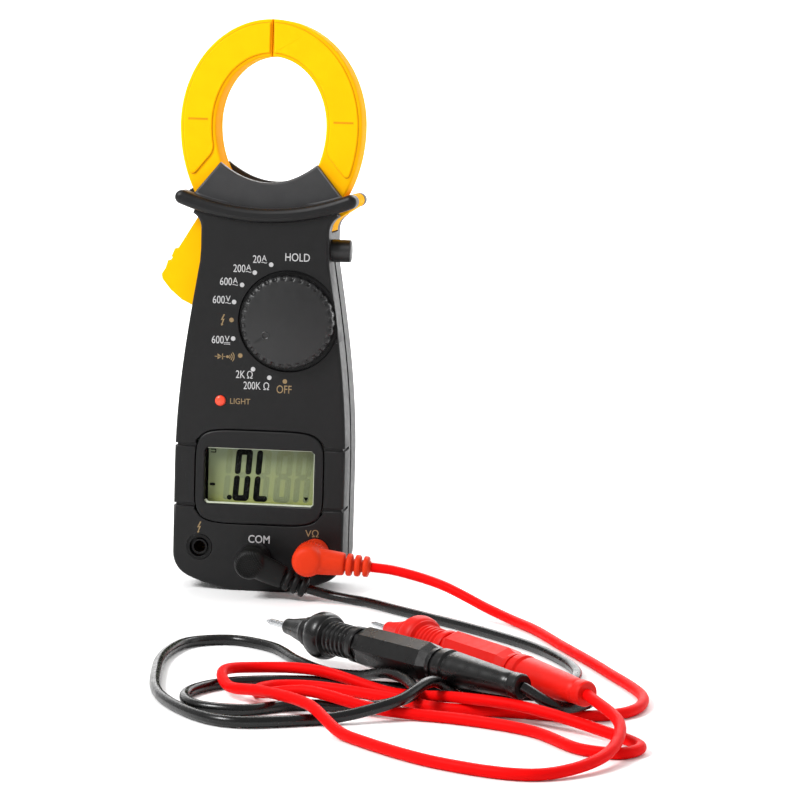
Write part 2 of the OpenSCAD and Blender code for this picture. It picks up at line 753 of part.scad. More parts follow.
module probe_handle() {
    turned([[0, 42], [4.9, 42], [5.5, 43], [5.5, 45], [5.2, 45.5], [0, 45.5]]);
    // Eight flats along the grip
    translate([0, 0, 45.4]) cylinder(r1 = 5, r2 = 6.2, h = 3.1, $fn = 8);
    translate([0, 0, 48.45]) cylinder(r = 6.2, h = 26.6, $fn = 8);
    translate([0, 0, 75]) cylinder(r1 = 6.2, r2 = 5.2, h = 3.2, $fn = 8);
    turned([[0, 78.1], [5.1, 78.1], [5.1, 79.6], [0, 79.6]]);
}

module probe_tail() {
    turned([[0, 79.6], [4.7, 79.6], [4.7, 80.6], [5.4, 81.2], [5.4, 84], [4.6, 84.6], [4.6, 85.4], [5.2, 86],
        [4.3, 100], [3.6, 109], [3.2, 110], [3.7, 110.6], [3.7, 113.4], [3.3, 114], [0, 114]]);
}

module black_probe() { lay(black_probe_from, black_probe_to) children(); }
module red_probe() { lay(red_probe_from, red_probe_to) children(); }
module black_probe_tip() color(steel_c) black_probe() probe_tip();
module black_probe_guard() color([0.12, 0.12, 0.12]) black_probe() probe_guard();
module black_probe_handle() color([0.12, 0.12, 0.12]) black_probe() probe_handle();
module black_probe_tail() color([0.12, 0.12, 0.12]) black_probe() probe_tail();
module red_probe_tip() color(steel_c) red_probe() probe_tip();
module red_probe_guard() color(red_c) red_probe() probe_guard();
module red_probe_handle() color(red_c) red_probe() probe_handle();
module red_probe_tail() color(red_c) red_probe() probe_tail();

front_shell();
rear_shell();
display_bezel();
display_window();
lcd_glass();
lcd_frame();
contact_strips();
main_board();
buzzer();
battery_cells();
battery_contacts();
battery_springs();
battery_cover();
cover_screw();
case_screws();
jack_bushes();
jack_sleeves();
fixed_jaw_front();
fixed_jaw_rear();
fixed_core();
core_winding();
jaw_pivot_pin();
jaw_spring();
hold_switch();
light_switch();
moving_jaw_front();
moving_jaw_rear();
moving_core();
dial_knob();
dial_rotor();
dial_wipers();
hold_button();
light_button();
black_plug_body();
black_plug_pin();
black_strain_relief();
black_cord();
black_probe_tail();
black_probe_handle();
black_probe_guard();
black_probe_tip();
red_plug_body();
red_plug_pin();
red_strain_relief();
red_cord();
red_probe_tail();
red_probe_handle();
red_probe_guard();
red_probe_tip();
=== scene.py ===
"""A clamp meter standing on its foot, with its two test leads lying on the floor in front of it."""

import json
import math

import bmesh
import bpy
from mathutils import Matrix, Vector


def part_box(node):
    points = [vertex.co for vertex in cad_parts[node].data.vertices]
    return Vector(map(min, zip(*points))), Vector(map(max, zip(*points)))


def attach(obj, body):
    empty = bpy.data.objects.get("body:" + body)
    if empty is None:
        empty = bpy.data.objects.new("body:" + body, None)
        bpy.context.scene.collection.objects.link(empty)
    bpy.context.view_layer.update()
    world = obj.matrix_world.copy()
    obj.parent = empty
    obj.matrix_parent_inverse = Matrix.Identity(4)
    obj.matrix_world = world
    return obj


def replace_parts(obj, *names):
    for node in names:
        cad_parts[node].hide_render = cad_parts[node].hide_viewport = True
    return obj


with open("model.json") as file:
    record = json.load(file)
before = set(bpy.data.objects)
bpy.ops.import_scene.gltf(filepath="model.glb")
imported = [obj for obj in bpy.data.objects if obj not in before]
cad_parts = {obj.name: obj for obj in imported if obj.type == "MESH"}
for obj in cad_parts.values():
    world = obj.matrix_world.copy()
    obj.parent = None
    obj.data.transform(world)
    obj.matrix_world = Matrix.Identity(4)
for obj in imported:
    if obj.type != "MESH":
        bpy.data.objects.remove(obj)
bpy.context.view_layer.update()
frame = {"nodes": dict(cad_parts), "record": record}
NODES = frame["nodes"]
MM = 0.001


def at(x, y, z):
    """A point given in millimetres, in metres."""
    return Vector((x, y, z)) * MM


def axes(angle):
    """Unit vectors seen from the front: along the angle, and square to it."""
    c, s = math.cos(angle), math.sin(angle)
    return Vector((c, 0, s)), Vector((-s, 0, c))


def middle(node):
    """The middle of a CAD node's box seen from the front: (x, z) in millimetres, to a tenth."""
    low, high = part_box(node)
    return tuple(round((low[i] + high[i]) / 2 / MM, 1) for i in (0, 2))


def front_of(node):
    """The level of a CAD node's front: Y in millimetres, to a tenth."""
    return round(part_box(node)[0][1] / MM, 1)


# Places seen from the front, and the levels of the main faces, in millimetres
KNOB_AT = middle("dial_knob")
WINDOW_Z = middle("display_window")[1]
LIGHT_AT = middle("light_button")
KNOB_TOP = front_of("dial_knob")
GLASS_FRONT = front_of("lcd_glass")
BEZEL_FRONT = front_of("display_bezel")
GUARD_FRONT, GUARD_BACK = -17.2, 15.5
CASE_FRONT, CASE_BACK = -15, 15
HEAD_FACE = 11
HOLD_TIP = 29.5

# ---------------------------------------------------------------- camera

CAMERA_AT = at(156.2, -998.2, 176.9)
CAMERA_LOOKS_AT = at(48.3, -9.9, 69.2)
CAMERA_LENS = 128.9
CAMERA_ROLL = math.radians(1.66)


def make_camera():
    camera = bpy.data.objects.new("camera", bpy.data.cameras.new("camera"))
    bpy.context.collection.objects.link(camera)
    ahead = (CAMERA_LOOKS_AT - CAMERA_AT).normalized()
    level = ahead.cross(Vector((0, 0, 1))).normalized()
    upright = level.cross(ahead)
    right = math.cos(CAMERA_ROLL) * level + math.sin(CAMERA_ROLL) * upright
    up = right.cross(ahead)
    turn = Matrix((right, up, -ahead)).transposed().to_4x4()
    camera.matrix_world = Matrix.Translation(CAMERA_AT) @ turn
    camera.data.lens = CAMERA_LENS
    camera.data.sensor_width = 36
    camera.data.clip_start = 0.05
    camera.data.clip_end = 50
    bpy.context.scene.camera = camera


# ---------------------------------------------------------------- materials


class Shade:
    """A node tree with short ways to add the nodes that the finishes share."""

    def __init__(self, name):
        self.material = bpy.data.materials.new(name)
        self.material.use_nodes = True
        self.tree = self.material.node_tree
        self.shader = self.tree.nodes["Principled BSDF"]
        self.place = self.tree.nodes.new("ShaderNodeTexCoord").outputs["Object"]

    def add(self, kind, **values):
        node = self.tree.nodes.new(kind)
        for key, value in values.items():
            if hasattr(node, key):
                setattr(node, key, value)
            else:
                node.inputs[key.replace("_", " ")].default_value = value
        return node

    def link(self, out, into):
        self.tree.links.new(out, into)

    def noise(self, size, detail=2.0, rough=0.5):
        """Noise whose lumps are about size metres across."""
        node = self.add("ShaderNodeTexNoise", Scale=1 / size, Detail=detail, Roughness=rough)
        self.link(self.place, node.inputs["Vector"])
        return node.outputs["Fac"]

    def ramp(self, source, stops):
        """Colours, or greys given as one number, against a value."""
        node = self.add("ShaderNodeValToRGB")
        elements = node.color_ramp.elements
        while len(elements) < len(stops):
            elements.new(0.5)
        for element, (place, colour) in zip(elements, stops):
            element.position = place
            element.color = colour if len(colour) == 4 else (*colour, 1)
        self.link(source, node.inputs["Fac"])
        return node.outputs["Color"]

    def greys(self, source, low, high, a=0.3, b=0.7):
        return self.ramp(source, [(a, (low,) * 3), (b, (high,) * 3)])

    def bump(self, height, distance):
        node = self.add("ShaderNodeBump", Distance=distance, Strength=1.0)
        self.link(height, node.inputs["Height"])
        self.link(node.outputs["Normal"], self.shader.inputs["Normal"])

    def set(self, **values):
        for key, value in values.items():
            self.shader.inputs[key.replace("_", " ")].default_value = value


def linear(r, g, b):
    """A colour given as 0 to 255 sRGB, as the shader wants it."""

    def one(v):
        v = v / 255
        return v / 12.92 if v <= 0.04045 else ((v + 0.055) / 1.055) ** 2.4

    return (one(r), one(g), one(b), 1)


def toned(colour, factor):
    """A colour made darker or lighter."""
    return tuple(min(1, c * factor) for c in colour[:3]) + (1,)


def plastic(name, colour, rough, grain=0.0004, depth=0.00001, spread=0.08, gloss=0.5):
    """Moulded plastic or rubber: a little mottling, a fine moulded grain and uneven gloss."""
    s = Shade(name)
    mottle = s.noise(0.006, 4.0)
    tint = s.ramp(mottle, [(0.3, toned(colour, 1 - spread)), (0.7, toned(colour, 1 + spread))])
    s.link(tint, s.shader.inputs["Base Color"])
    s.link(s.greys(s.noise(0.0025, 3.0), rough - 0.05, rough + 0.06), s.shader.inputs["Roughness"])
    s.bump(s.noise(grain, 3.0, 0.6), depth)
    s.set(Specular_IOR_Level=gloss)
    return s.material


def metal(name, colour, rough, brushed=None):
    """Plated or brushed metal, with fine scratches."""
    s = Shade(name)
    stretch = s.add("ShaderNodeMapping")
    stretch.inputs["Scale"].default_value = brushed or (1, 1, 1)
    s.link(s.place, stretch.inputs["Vector"])
    lines = s.add("ShaderNodeTexNoise", Scale=2500.0, Detail=3.0)
    s.link(stretch.outputs["Vector"], lines.inputs["Vector"])
    s.link(s.greys(lines.outputs["Fac"], rough - 0.06, rough + 0.1), s.shader.inputs["Roughness"])
    tint = s.ramp(s.noise(0.004), [(0.3, toned(colour, 0.9)), (0.7, toned(colour, 1.05))])
    s.link(tint, s.shader.inputs["Base Color"])
    s.bump(lines.outputs["Fac"], 0.000005)
    s.set(Metallic=1.0)
    return s.material


def print_ink(name, colour, gloss=0.3):
    """Pad-printed ink, very slightly uneven."""
    s = Shade(name)
    tint = s.ramp(s.noise(0.0004, 2.0), [(0.35, toned(colour, 0.85)), (0.6, colour)])
    s.link(tint, s.shader.inputs["Base Color"])
    s.set(Roughness=0.5, Specular_IOR_Level=gloss)
    return s.material


# ---------------------------------------------------------------- mesh helpers


def new_object(name, mesh, material, body):
    """A visible piece that rides on a CAD body."""
    obj = bpy.data.objects.new(name, mesh)
    bpy.context.collection.objects.link(obj)
    mesh.materials.clear()
    mesh.materials.append(material)
    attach(obj, body)
    return obj


def to_mesh(bm, name):
    mesh = bpy.data.meshes.new(name)
    bm.to_mesh(mesh)
    bm.free()
    return mesh


def smooth(mesh, angle=35):
    """Smooth faces, with creases where two faces meet at more than angle degrees; level faces stay flat."""
    mesh.set_sharp_from_angle(angle=math.radians(angle))
    for face in mesh.polygons:
        face.use_smooth = abs(face.normal.y) < 0.9999


def rounded(bm, edges, width, segments):
    """Rounds edges by width millimetres."""
    if edges and width:
        bmesh.ops.bevel(bm, geom=edges, offset=width * MM, offset_type="OFFSET", segments=segments,
            profile=0.5, affect="EDGES", clamp_overlap=False, loop_slide=True)


def skin(name, rings):
    """A closed mesh over rings of points, each ring with as many points as the next."""
    bm = bmesh.new()
    rows = [[bm.verts.new(p) for p in ring] for ring in rings]
    for a, b in zip(rows, rows[1:]):
        for i in range(len(a)):
            j = (i + 1) % len(a)
            bm.faces.new((a[i], a[j], b[j], b[i]))
    bm.faces.new(reversed(rows[0]))
    bm.faces.new(rows[-1])
    bmesh.ops.recalc_face_normals(bm, faces=bm.faces)
    return to_mesh(bm, name)


def from_rings(name, rings, material, body, angle=35):
    mesh = skin(name, rings)
    smooth(mesh, angle)
    return new_object(name, mesh, material, body)


def lathed(profile, place, axis, sides, shape=None):
    """Rings of a lathed form: profile is (distance along axis, radius) in mm; shape scales a radius."""
    turn = Vector((0, 0, 1)).rotation_difference(Vector(axis)).to_matrix()
    rings = []
    for along, radius in profile:
        ring = []
        for k in range(sides):
            a = 2 * math.pi * k / sides
            r = radius * MM * (shape(a, along) if shape else 1)
            ring.append(Vector(place) + turn @ Vector((r * math.cos(a), r * math.sin(a), along * MM)))
        rings.append(ring)
    return rings


def turned(name, profile, place, axis, material, body, sides=64, angle=35, shape=None):
    """A lathed piece."""
    return from_rings(name, lathed(profile, place, axis, sides, shape), material, body, angle)


def soft_edges(node, body, material, cuts, tidy=0.4):
    """A copy of a CAD node with rounded edges, standing for it.

    cuts is a list of (width in mm, chosen): chosen(an edge's middle in mm) says whether to round it.
    """
    bm = bmesh.new()
    bm.from_mesh(NODES[node].data)
    bmesh.ops.remove_doubles(bm, verts=bm.verts, dist=3e-6)
    bmesh.ops.dissolve_limit(bm, angle_limit=math.radians(tidy), verts=bm.verts, edges=bm.edges)
    limit = math.radians(32)
    for width, chosen in cuts:
        picked = []
        for edge in bm.edges:
            if len(edge.link_faces) != 2 or edge.calc_face_angle(0) < limit:
                continue
            a, b = edge.verts[0].co / MM, edge.verts[1].co / MM
            if chosen((a + b) / 2):
                picked.append(edge)
        rounded(bm, picked, width, 3)
    mesh = to_mesh(bm, node + "_soft")
    smooth(mesh)
    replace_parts(new_object(mesh.name, mesh, material, body), node)


# ---------------------------------------------------------------- cords

BLACK_ROUTE = [
    (20.2, -29, 4.3), (28.5, -29.2, 2.4), (40, -34, 1.8), (55, -48, 1.7), (87, -80, 1.7),
    (108, -108, 1.7), (119, -140, 1.7), (112, -164, 1.7), (91, -172, 1.7), (65, -172.5, 1.7),
    (40, -170, 1.7), (18, -178, 1.7), (9, -194, 1.7), (14, -210, 1.7), (28, -213.5, 1.7),
    (42, -203.5, 1.7), (58, -201.5, 1.7), (67, -201, 2.5), (75, -195.2, 4.8), (73, -186, 6),
    (65.5, -175.5, 6.5), (54.5, -162, 2.5), (44, -155, 1.7), (34, -142, 1.7), (22, -121, 1.7),
    (8, -113, 1.7), (-4, -119.5, 1.7), (-8, -136.5, 1.7), (-6, -164, 1.7), (4, -204, 1.7),
    (26, -229, 1.8), (50, -221, 1.7), (71.5, -209.5, 5.5), (80.5, -196, 9), (88.5, -184, 2),
    (104.5, -176.5, 2.2), (121, -184.5, 3.2), (125, -197, 5.2), (117, -206, 5.6), (106.5, -204, 10.4),
]
RED_ROUTE = [
    (42.5, -33, 13.6), (51, -33.4, 12.8), (67, -37, 9.4), (84.5, -47, 3.6), (98, -64, 1.8),
    (113, -98, 1.7), (128, -134, 1.7), (140, -170, 1.7), (136, -190, 1.7), (122, -199, 1.7),
    (104, -198, 1.7), (82.5, -197, 1.7), (66.5, -186.5, 1.7), (42.5, -177, 1.8), (31.5, -179.5, 1.8),
    (28, -187.5, 1.8), (32.5, -196, 3.2), (45, -201.5, 5.5), (66, -207, 2.5), (88, -210, 1.7),
    (110, -220.5, 1.7), (126, -240.5, 1.7), (136.5, -242, 1.7), (141, -233, 1.7), (127, -218, 3),
    (107, -207.5, 5.5), (88, -197.5, 5), (67.5, -181, 1.8), (43.5, -170.5, 5.2), (25.5, -169.5, 5),
    (17, -178.5, 5.5), (20.5, -191, 3.5), (32.5, -203.5, 5.2), (48, -220.5, 5.8), (62, -240, 1.8),
    (90, -265, 1.7), (114, -272, 1.7), (131, -256, 3.2), (135, -230, 7), (125, -209.5, 10.4),
]
CORD_D = 3.3 * MM
# Below this height a route's point lies on the floor
FLOOR_BAND = 2 * MM


def lead(name, route, material):
    """A test lead's cord: one smooth curve through the route, level wherever it lies on the floor."""
    points = [at(*p) for p in route]
    around = [2 * points[0] - points[1], *points, 2 * points[-1] - points[-2]]
    curve = bpy.data.curves.new(name, "CURVE")
    curve.dimensions = "3D"
    curve.resolution_u = 10
    curve.bevel_depth = CORD_D / 2
    curve.bevel_resolution = 5
    curve.use_fill_caps = True
    spline = curve.splines.new("BEZIER")
    spline.bezier_points.add(len(points) - 1)
    for a, b, c, knot in zip(around, around[1:], around[2:], spline.bezier_points):
        before, after = math.sqrt((b - a).length), math.sqrt((c - b).length)
        slope = (b - a) / before - (c - a) / (before + after) + (c - b) / after
        if b.z < FLOOR_BAND:
            slope.z = 0
        knot.co = b
        knot.handle_left_type = knot.handle_right_type = "FREE"
        knot.handle_left = b - slope * before / 3
        knot.handle_right = b + slope * after / 3
    curve.materials.append(material)
    obj = bpy.data.objects.new(name, curve)
    bpy.context.collection.objects.link(obj)
    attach(obj, "housing")
    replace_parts(obj, name.replace("_lead", "_cord"))


# ---------------------------------------------------------------- finishes


# The guard bar is an arc; everything inside it belongs to the head: radius and centre's height in metres
GUARD_RING_R, GUARD_RING_Z = 0.0766, 0.211


def case_plastic():
    """The case's black plastic, paler on the head above the guard."""
    s = Shade("case_black")
    body, head = linear(9, 9, 10), linear(50, 50, 51)
    mottle = s.noise(0.006, 4.0)
    dark = s.ramp(mottle, [(0.3, toned(body, 0.85)), (0.7, toned(body, 1.15))])
    pale = s.ramp(mottle, [(0.3, toned(head, 0.9)), (0.7, toned(head, 1.1))])
    flat = s.add("ShaderNodeVectorMath", operation="MULTIPLY_ADD")
    flat.inputs[1].default_value = (1, 0, 1)
    flat.inputs[2].default_value = (0, 0, -GUARD_RING_Z)
    s.link(s.place, flat.inputs[0])
    away = s.add("ShaderNodeVectorMath", operation="LENGTH")
    s.link(flat.outputs[0], away.inputs[0])
    inside = s.add("ShaderNodeMath", operation="LESS_THAN")
    inside.inputs[1].default_value = GUARD_RING_R
    s.link(away.outputs["Value"], inside.inputs[0])
    mix = s.add("ShaderNodeMix", data_type="RGBA")
    s.link(inside.outputs[0], mix.inputs["Factor"])
    s.link(dark, mix.inputs["A"])
    s.link(pale, mix.inputs["B"])
    s.link(mix.outputs["Result"], s.shader.inputs["Base Color"])
    s.link(s.greys(s.noise(0.0025, 3.0), 0.4, 0.5), s.shader.inputs["Roughness"])
    s.bump(s.noise(0.00045, 3.0, 0.6), 0.000012)
    s.set(Specular_IOR_Level=0.3)
    return s.material


CASE = case_plastic()
YELLOW = plastic("jaw_yellow", linear(250, 179, 10), 0.6, grain=0.0005, depth=0.000008, spread=0.03,
    gloss=0.01)
KNOB_BLACK = plastic("knob_black", linear(16, 16, 17), 0.4, grain=0.0006, depth=0.00001, gloss=0.5)
JACK_BLACK = plastic("jack_black", linear(5, 5, 5), 0.35, grain=0.0012, depth=0.000004, gloss=0.2)
PLUG_RED = plastic("plug_red", linear(206, 46, 4), 0.55, grain=0.0005, spread=0.04, gloss=0.18)
PLUG_BLACK = plastic("plug_black", linear(10, 10, 10), 0.5, grain=0.0005, gloss=0.22)
PROBE_RED = plastic("probe_red", linear(214, 18, 6), 0.46, grain=0.0009, depth=0.000006, spread=0.04,
    gloss=0.2)
PROBE_BLACK = plastic("probe_black", linear(9, 9, 9), 0.3, grain=0.0009, depth=0.000006, gloss=0.38)
CORD_RED = plastic("cord_red", linear(222, 8, 8), 0.5, grain=0.0006, depth=0.000004, spread=0.05, gloss=0.05)
CORD_BLACK = plastic("cord_black", linear(5, 5, 5), 0.26, grain=0.0006, depth=0.000004, gloss=0.4)
BUTTON_RED = plastic("button_red", linear(240, 70, 40), 0.3, grain=0.0008, depth=0.000004)
GREY = plastic("grey_plastic", linear(150, 150, 146), 0.45)
BOARD = plastic("board_green", linear(30, 95, 55), 0.35, grain=0.0006)
JACKET = plastic("battery_jacket", linear(40, 55, 90), 0.3, grain=0.003)
RUBBER = plastic("rubber_grey", linear(80, 80, 80), 0.7)
STEEL = metal("steel", linear(205, 207, 210), 0.22)
SCREW = metal("screw_zinc", linear(84, 86, 89), 0.4)
CORE = metal("core_steel", linear(150, 150, 154), 0.4, brushed=(1, 30, 1))
# Brass darkened as painted shade, for the sleeves that sit deep in the jacks
SHADED_BRASS = metal("brass", linear(96, 78, 44), 0.42)
WINDING = metal("winding", linear(180, 95, 45), 0.35, brushed=(1, 1, 20))
# Darker yellow: painted shade for the groove of each jaw's mark
MARK_SHADE = plastic("jaw_mark_shade", linear(205, 138, 6), 0.6, gloss=0.1)
# Darker yellow: painted shade in the crease round each pad's foot
PAD_FOOT_SHADE = plastic("jaw_pad_shade", linear(214, 148, 0), 0.6, gloss=0.15)
# A little darker than the knob: painted shade for the pointer line's groove
POINTER_SHADE = plastic("knob_pointer_shade", linear(12, 12, 12), 0.6)
INK_WHITE = print_ink("ink_white", linear(182, 182, 183))
INK_TAN = print_ink("ink_tan", linear(140, 118, 84))
# A pale frame along the window's edge: a painted highlight where the clear window's bevel catches the light
WINDOW_HIGHLIGHT = plastic("window_highlight", linear(205, 212, 190), 0.25)
# Dark ink for the bars that are on, also used for the strip of painted shade at the field's left end
DARK_BARS_AND_SHADE = print_ink("lcd_dark", linear(4, 5, 4), 0.05)
SEGMENT_OFF = print_ink("lcd_faint", linear(134, 144, 108), 0.05)


def lcd_finish():
    """The display's green-grey field, lighter and yellower towards the bottom: painted light, with painted shade
    towards the top.
    """
    s = Shade("lcd_field")
    split = s.add("ShaderNodeSeparateXYZ")
    s.link(s.place, split.inputs[0])
    rise = s.add("ShaderNodeMapRange")
    rise.inputs["From Min"].default_value = 0.031
    rise.inputs["From Max"].default_value = 0.050
    s.link(split.outputs["Z"], rise.inputs["Value"])
    wobble = s.add("ShaderNodeMath", operation="MULTIPLY_ADD")
    wobble.inputs[1].default_value = 0.25
    wobble.inputs[2].default_value = -0.12
    s.link(s.noise(0.004, 3.0), wobble.inputs[0])
    total = s.add("ShaderNodeMath", operation="ADD")
    s.link(rise.outputs[0], total.inputs[0])
    s.link(wobble.outputs[0], total.inputs[1])
    # Painted light: light and yellow at the bottom, darker towards the top, with a little random tone
    tint = s.ramp(total.outputs[0], [(0.0, linear(176, 184, 108)), (0.12, linear(150, 160, 108)),
        (0.55, linear(144, 155, 112)), (1.0, linear(134, 147, 118))])
    s.link(tint, s.shader.inputs["Base Color"])
    s.set(Roughness=0.4, Specular_IOR_Level=0.1)
    return s.material


def clear_finish():
    """The clear window: mostly see-through, with a light gloss and faint smears."""
    s = Shade("clear_window")
    s.link(s.greys(s.noise(0.01, 4.0), 0.04, 0.14), s.shader.inputs["Roughness"])
    s.link(s.greys(s.noise(0.02, 3.0), 0.05, 0.09), s.shader.inputs["Alpha"])
    s.set(Base_Color=linear(30, 32, 28), Specular_IOR_Level=0.3)
    return s.material


LCD = lcd_finish()
CLEAR = clear_finish()

PLAIN_FINISH = {
    "case_black": CASE, "jaw_yellow": YELLOW, "knob_black": KNOB_BLACK, "jack_black": JACK_BLACK,
    "plug_red": PLUG_RED, "plug_black": PLUG_BLACK, "probe_red": PROBE_RED, "probe_black": PROBE_BLACK,
    "cord_red": CORD_RED, "cord_black": CORD_BLACK, "button_red": BUTTON_RED, "grey_plastic": GREY,
    "board_green": BOARD, "battery_jacket": JACKET, "rubber_grey": RUBBER, "steel": STEEL,
    "core_steel": CORE, "brass": SHADED_BRASS, "winding": WINDING,
}


def finish_nodes():
    """Every CAD node gets its slot's finish, and the screws a darker one."""
    for entry in frame["record"]["subparts"]:
        node = NODES[entry["node"]]
        finish = PLAIN_FINISH.get(entry["material_slot"])
        if finish is not None:
            for place in node.material_slots:
                place.material = SCREW if "screw" in entry["node"] else finish


# ---------------------------------------------------------------- the case

NECK_HALF, BODY_HALF = 22.5, 30.2
FLARE_TOP, FLARE_LOW = 117, 44
BOTTOM_R, CORNER_R, FOOT_HALF = 63, 9, 9
SHOULDER_R, SHOULDER_LOW = 6, 127


def side_x(z):
    """Half width of the case at height z, in millimetres."""
    share = max(0, min(1, (FLARE_TOP - z) / (FLARE_TOP - FLARE_LOW)))
    return NECK_HALF + (BODY_HALF - NECK_HALF) * math.sin(math.pi / 2 * share)


def shoulder():
    """The curve from the head out to the neck, on the right, from the top down."""
    turns = [math.radians(t) for t in range(60, -1, -10)]
    return [(NECK_HALF + SHOULDER_R * (1 - math.cos(a)), SHOULDER_LOW + SHOULDER_R * math.sin(a)) for a in turns]


def half_outline():
    """The case's outline in mm, right half: shoulder, flared side, corner and curved bottom."""
    arc_z = math.sqrt(BOTTOM_R ** 2 - FOOT_HALF ** 2)
    corner_x = BODY_HALF - CORNER_R
    corner_z = arc_z - math.sqrt((BOTTOM_R - CORNER_R) ** 2 - corner_x ** 2)
    end = math.atan2(corner_z - arc_z, corner_x)
    points = shoulder() + [(side_x(z), z) for z in range(SHOULDER_LOW - 1, 12, -2)]
    points += [(corner_x + CORNER_R * math.cos(end * i / 8), corner_z + CORNER_R * math.sin(end * i / 8))
        for i in range(9)]
    for i in range(1, 9):
        a = end + (-math.pi / 2 - end) * i / 8
        points.append((BOTTOM_R * math.cos(a), max(0, arc_z + BOTTOM_R * math.sin(a))))
    return points + [(0, 0)]


OUTLINE = half_outline()


def on_outline(m):
    """Whether a point on the case's front or back, in millimetres, lies on its outline."""
    p = Vector((abs(m.x), m.z))
    for a, b in zip(OUTLINE, OUTLINE[1:]):
        a, b = Vector(a), Vector(b)
        share = max(0, min(1, (p - a).dot(b - a) / (b - a).length_squared))
        if (a + (b - a) * share - p).length < 0.25:
            return True
    return False


def case_shells():
    """Front and rear shells with a bevelled border, a round guard bar and soft small edges."""

    def at_level(m, y):
        return abs(m.y - y) < 0.02

    def by_dial(m):
        return math.hypot(m.x - KNOB_AT[0], m.z - KNOB_AT[1]) < 19

    def by_display(m):
        return 22 < m.z < 58 and not on_outline(m)

    head_low = 136
    soft_edges("front_shell", "housing", CASE, [
        (0.9, lambda m: at_level(m, CASE_FRONT) and on_outline(m)),
        (0.35, lambda m: at_level(m, CASE_FRONT) and by_dial(m)),
        (0.3, lambda m: at_level(m, CASE_FRONT) and by_display(m)),
        (1.7, lambda m: m.y < GUARD_FRONT + 0.05),
        (0.7, lambda m: at_level(m, -HEAD_FACE) and m.z > head_low),
    ])
    soft_edges("rear_shell", "housing", CASE, [
        (0.9, lambda m: at_level(m, CASE_BACK) and on_outline(m)),
        (1.7, lambda m: m.y > GUARD_BACK - 0.1),
        (0.7, lambda m: at_level(m, HEAD_FACE) and m.z > head_low),
    ], tidy=0.1)
    soft_edges("display_bezel", "housing", CASE, [(0.5, lambda m: at_level(m, BEZEL_FRONT))])
    soft_edges("hold_button", "hold_button", KNOB_BLACK, [(0.35, lambda m: m.x > HOLD_TIP - 0.2)])


# ---------------------------------------------------------------- the jaws

# The jaws' egg shapes: the widest point's height, then half width, height above it and height below it
JAW_MID = 163
JAW_OUT = (32, 37, 42.3)
JAW_IN = (19.4, 24, 27)
# A jaw's faces are at -JAW_FACE and JAW_FACE; its front and rear halves meet at JAW_SPLIT
JAW_FACE, JAW_SPLIT = 7.5, 2.8
SEAM_HALF = 0.15
PAD_RISE = 0.7
BAND_END = -63


def egg(size, degrees, side, grow=0):
    """A point on one of the jaws' two egg shapes: half width, height above and below the widest point."""
    half, up, low = size
    a = math.radians(degrees)
    return (side * (half + grow) * math.cos(a), JAW_MID + ((up if a > 0 else low) + grow) * math.sin(a))


def prism(name, outline, y0, y1, material, body, corner=0, rims=(0, 0), cut=None, angle=30):
    """A flat figure of (x, z) points in mm made solid from y0 to y1, with rounded corners and rims."""
    bm = bmesh.new()
    front = [bm.verts.new(at(x, y0, z)) for x, z in outline]
    back = [bm.verts.new(at(x, y1, z)) for x, z in outline]
    bm.faces.new(front)
    bm.faces.new(reversed(back))
    for i in range(len(outline)):
        j = (i + 1) % len(outline)
        bm.faces.new((front[j], front[i], back[i], back[j]))
    bmesh.ops.recalc_face_normals(bm, faces=bm.faces)

    upright = [e for e in bm.edges if abs(e.verts[0].co.y - e.verts[1].co.y) > 0.0001
        and e.calc_face_angle(0) > math.radians(angle) and (cut is None or cut(e.verts[0].co / MM))]
    rounded(bm, upright, corner, 6)
    for y, width in zip((y0, y1), rims):
        rim = [e for e in bm.edges if all(abs(v.co.y / MM - y) < 0.001 for v in e.verts)]
        rounded(bm, rim, width, 4)
    mesh = to_mesh(bm, name)
    smooth(mesh, 40)
    return new_object(name, mesh, material, body)


def band(side, low_end, step=3):
    """Outline of one jaw, from its meeting face down to low_end degrees."""
    outer = [egg(JAW_OUT, a, side) for a in range(90 - step, low_end, -step)]
    inner = [egg(JAW_IN, a, side) for a in range(low_end + step, 90, step)]
    top = [(side * SEAM_HALF, JAW_MID + JAW_IN[1]), (side * SEAM_HALF, JAW_MID + JAW_OUT[1])]
    return outer + inner + top


# The pad ends along this slanted line above the head's flank
PAD_CUT = ((20.5, 153), (36, 134.2))


def pad(side, step=3, grow=0.0):
    """Outline of the raised pad on a jaw's face: inside the band, and above the head's flank."""
    (x0, z0), (x1, z1) = PAD_CUT
    x0, z0, x1, z1 = x0 - 0.77 * grow, z0 - 0.64 * grow, x1 - 0.77 * grow, z1 - 0.64 * grow
    inset = 1.3 - grow

    def above(point):
        x, z = abs(point[0]), point[1]
        return (x - x0) * (z1 - z0) - (z - z0) * (x1 - x0) < 0

    def crossing(size, grow):
        low, high = -60.0, 20.0
        for _ in range(30):
            mid = (low + high) / 2
            if above(egg(size, mid, side, grow)):
                high = mid
            else:
                low = mid
        return high

    outer_end, inner_end = crossing(JAW_OUT, -inset), crossing(JAW_IN, inset)
    outer = [egg(JAW_OUT, a, side, -inset) for a in range(90 - step, math.ceil(outer_end) + step, -step)]
    inner = [egg(JAW_IN, a, side, inset) for a in range(90 - step, math.ceil(inner_end) + step, -step)][::-1]
    ends = [egg(JAW_OUT, outer_end, side, -inset), egg(JAW_IN, inner_end, side, inset)]
    edge = side * (0.75 - grow)
    return outer + ends + inner + [(edge, JAW_MID + JAW_IN[1] + inset), (edge, JAW_MID + JAW_OUT[1] - inset)]


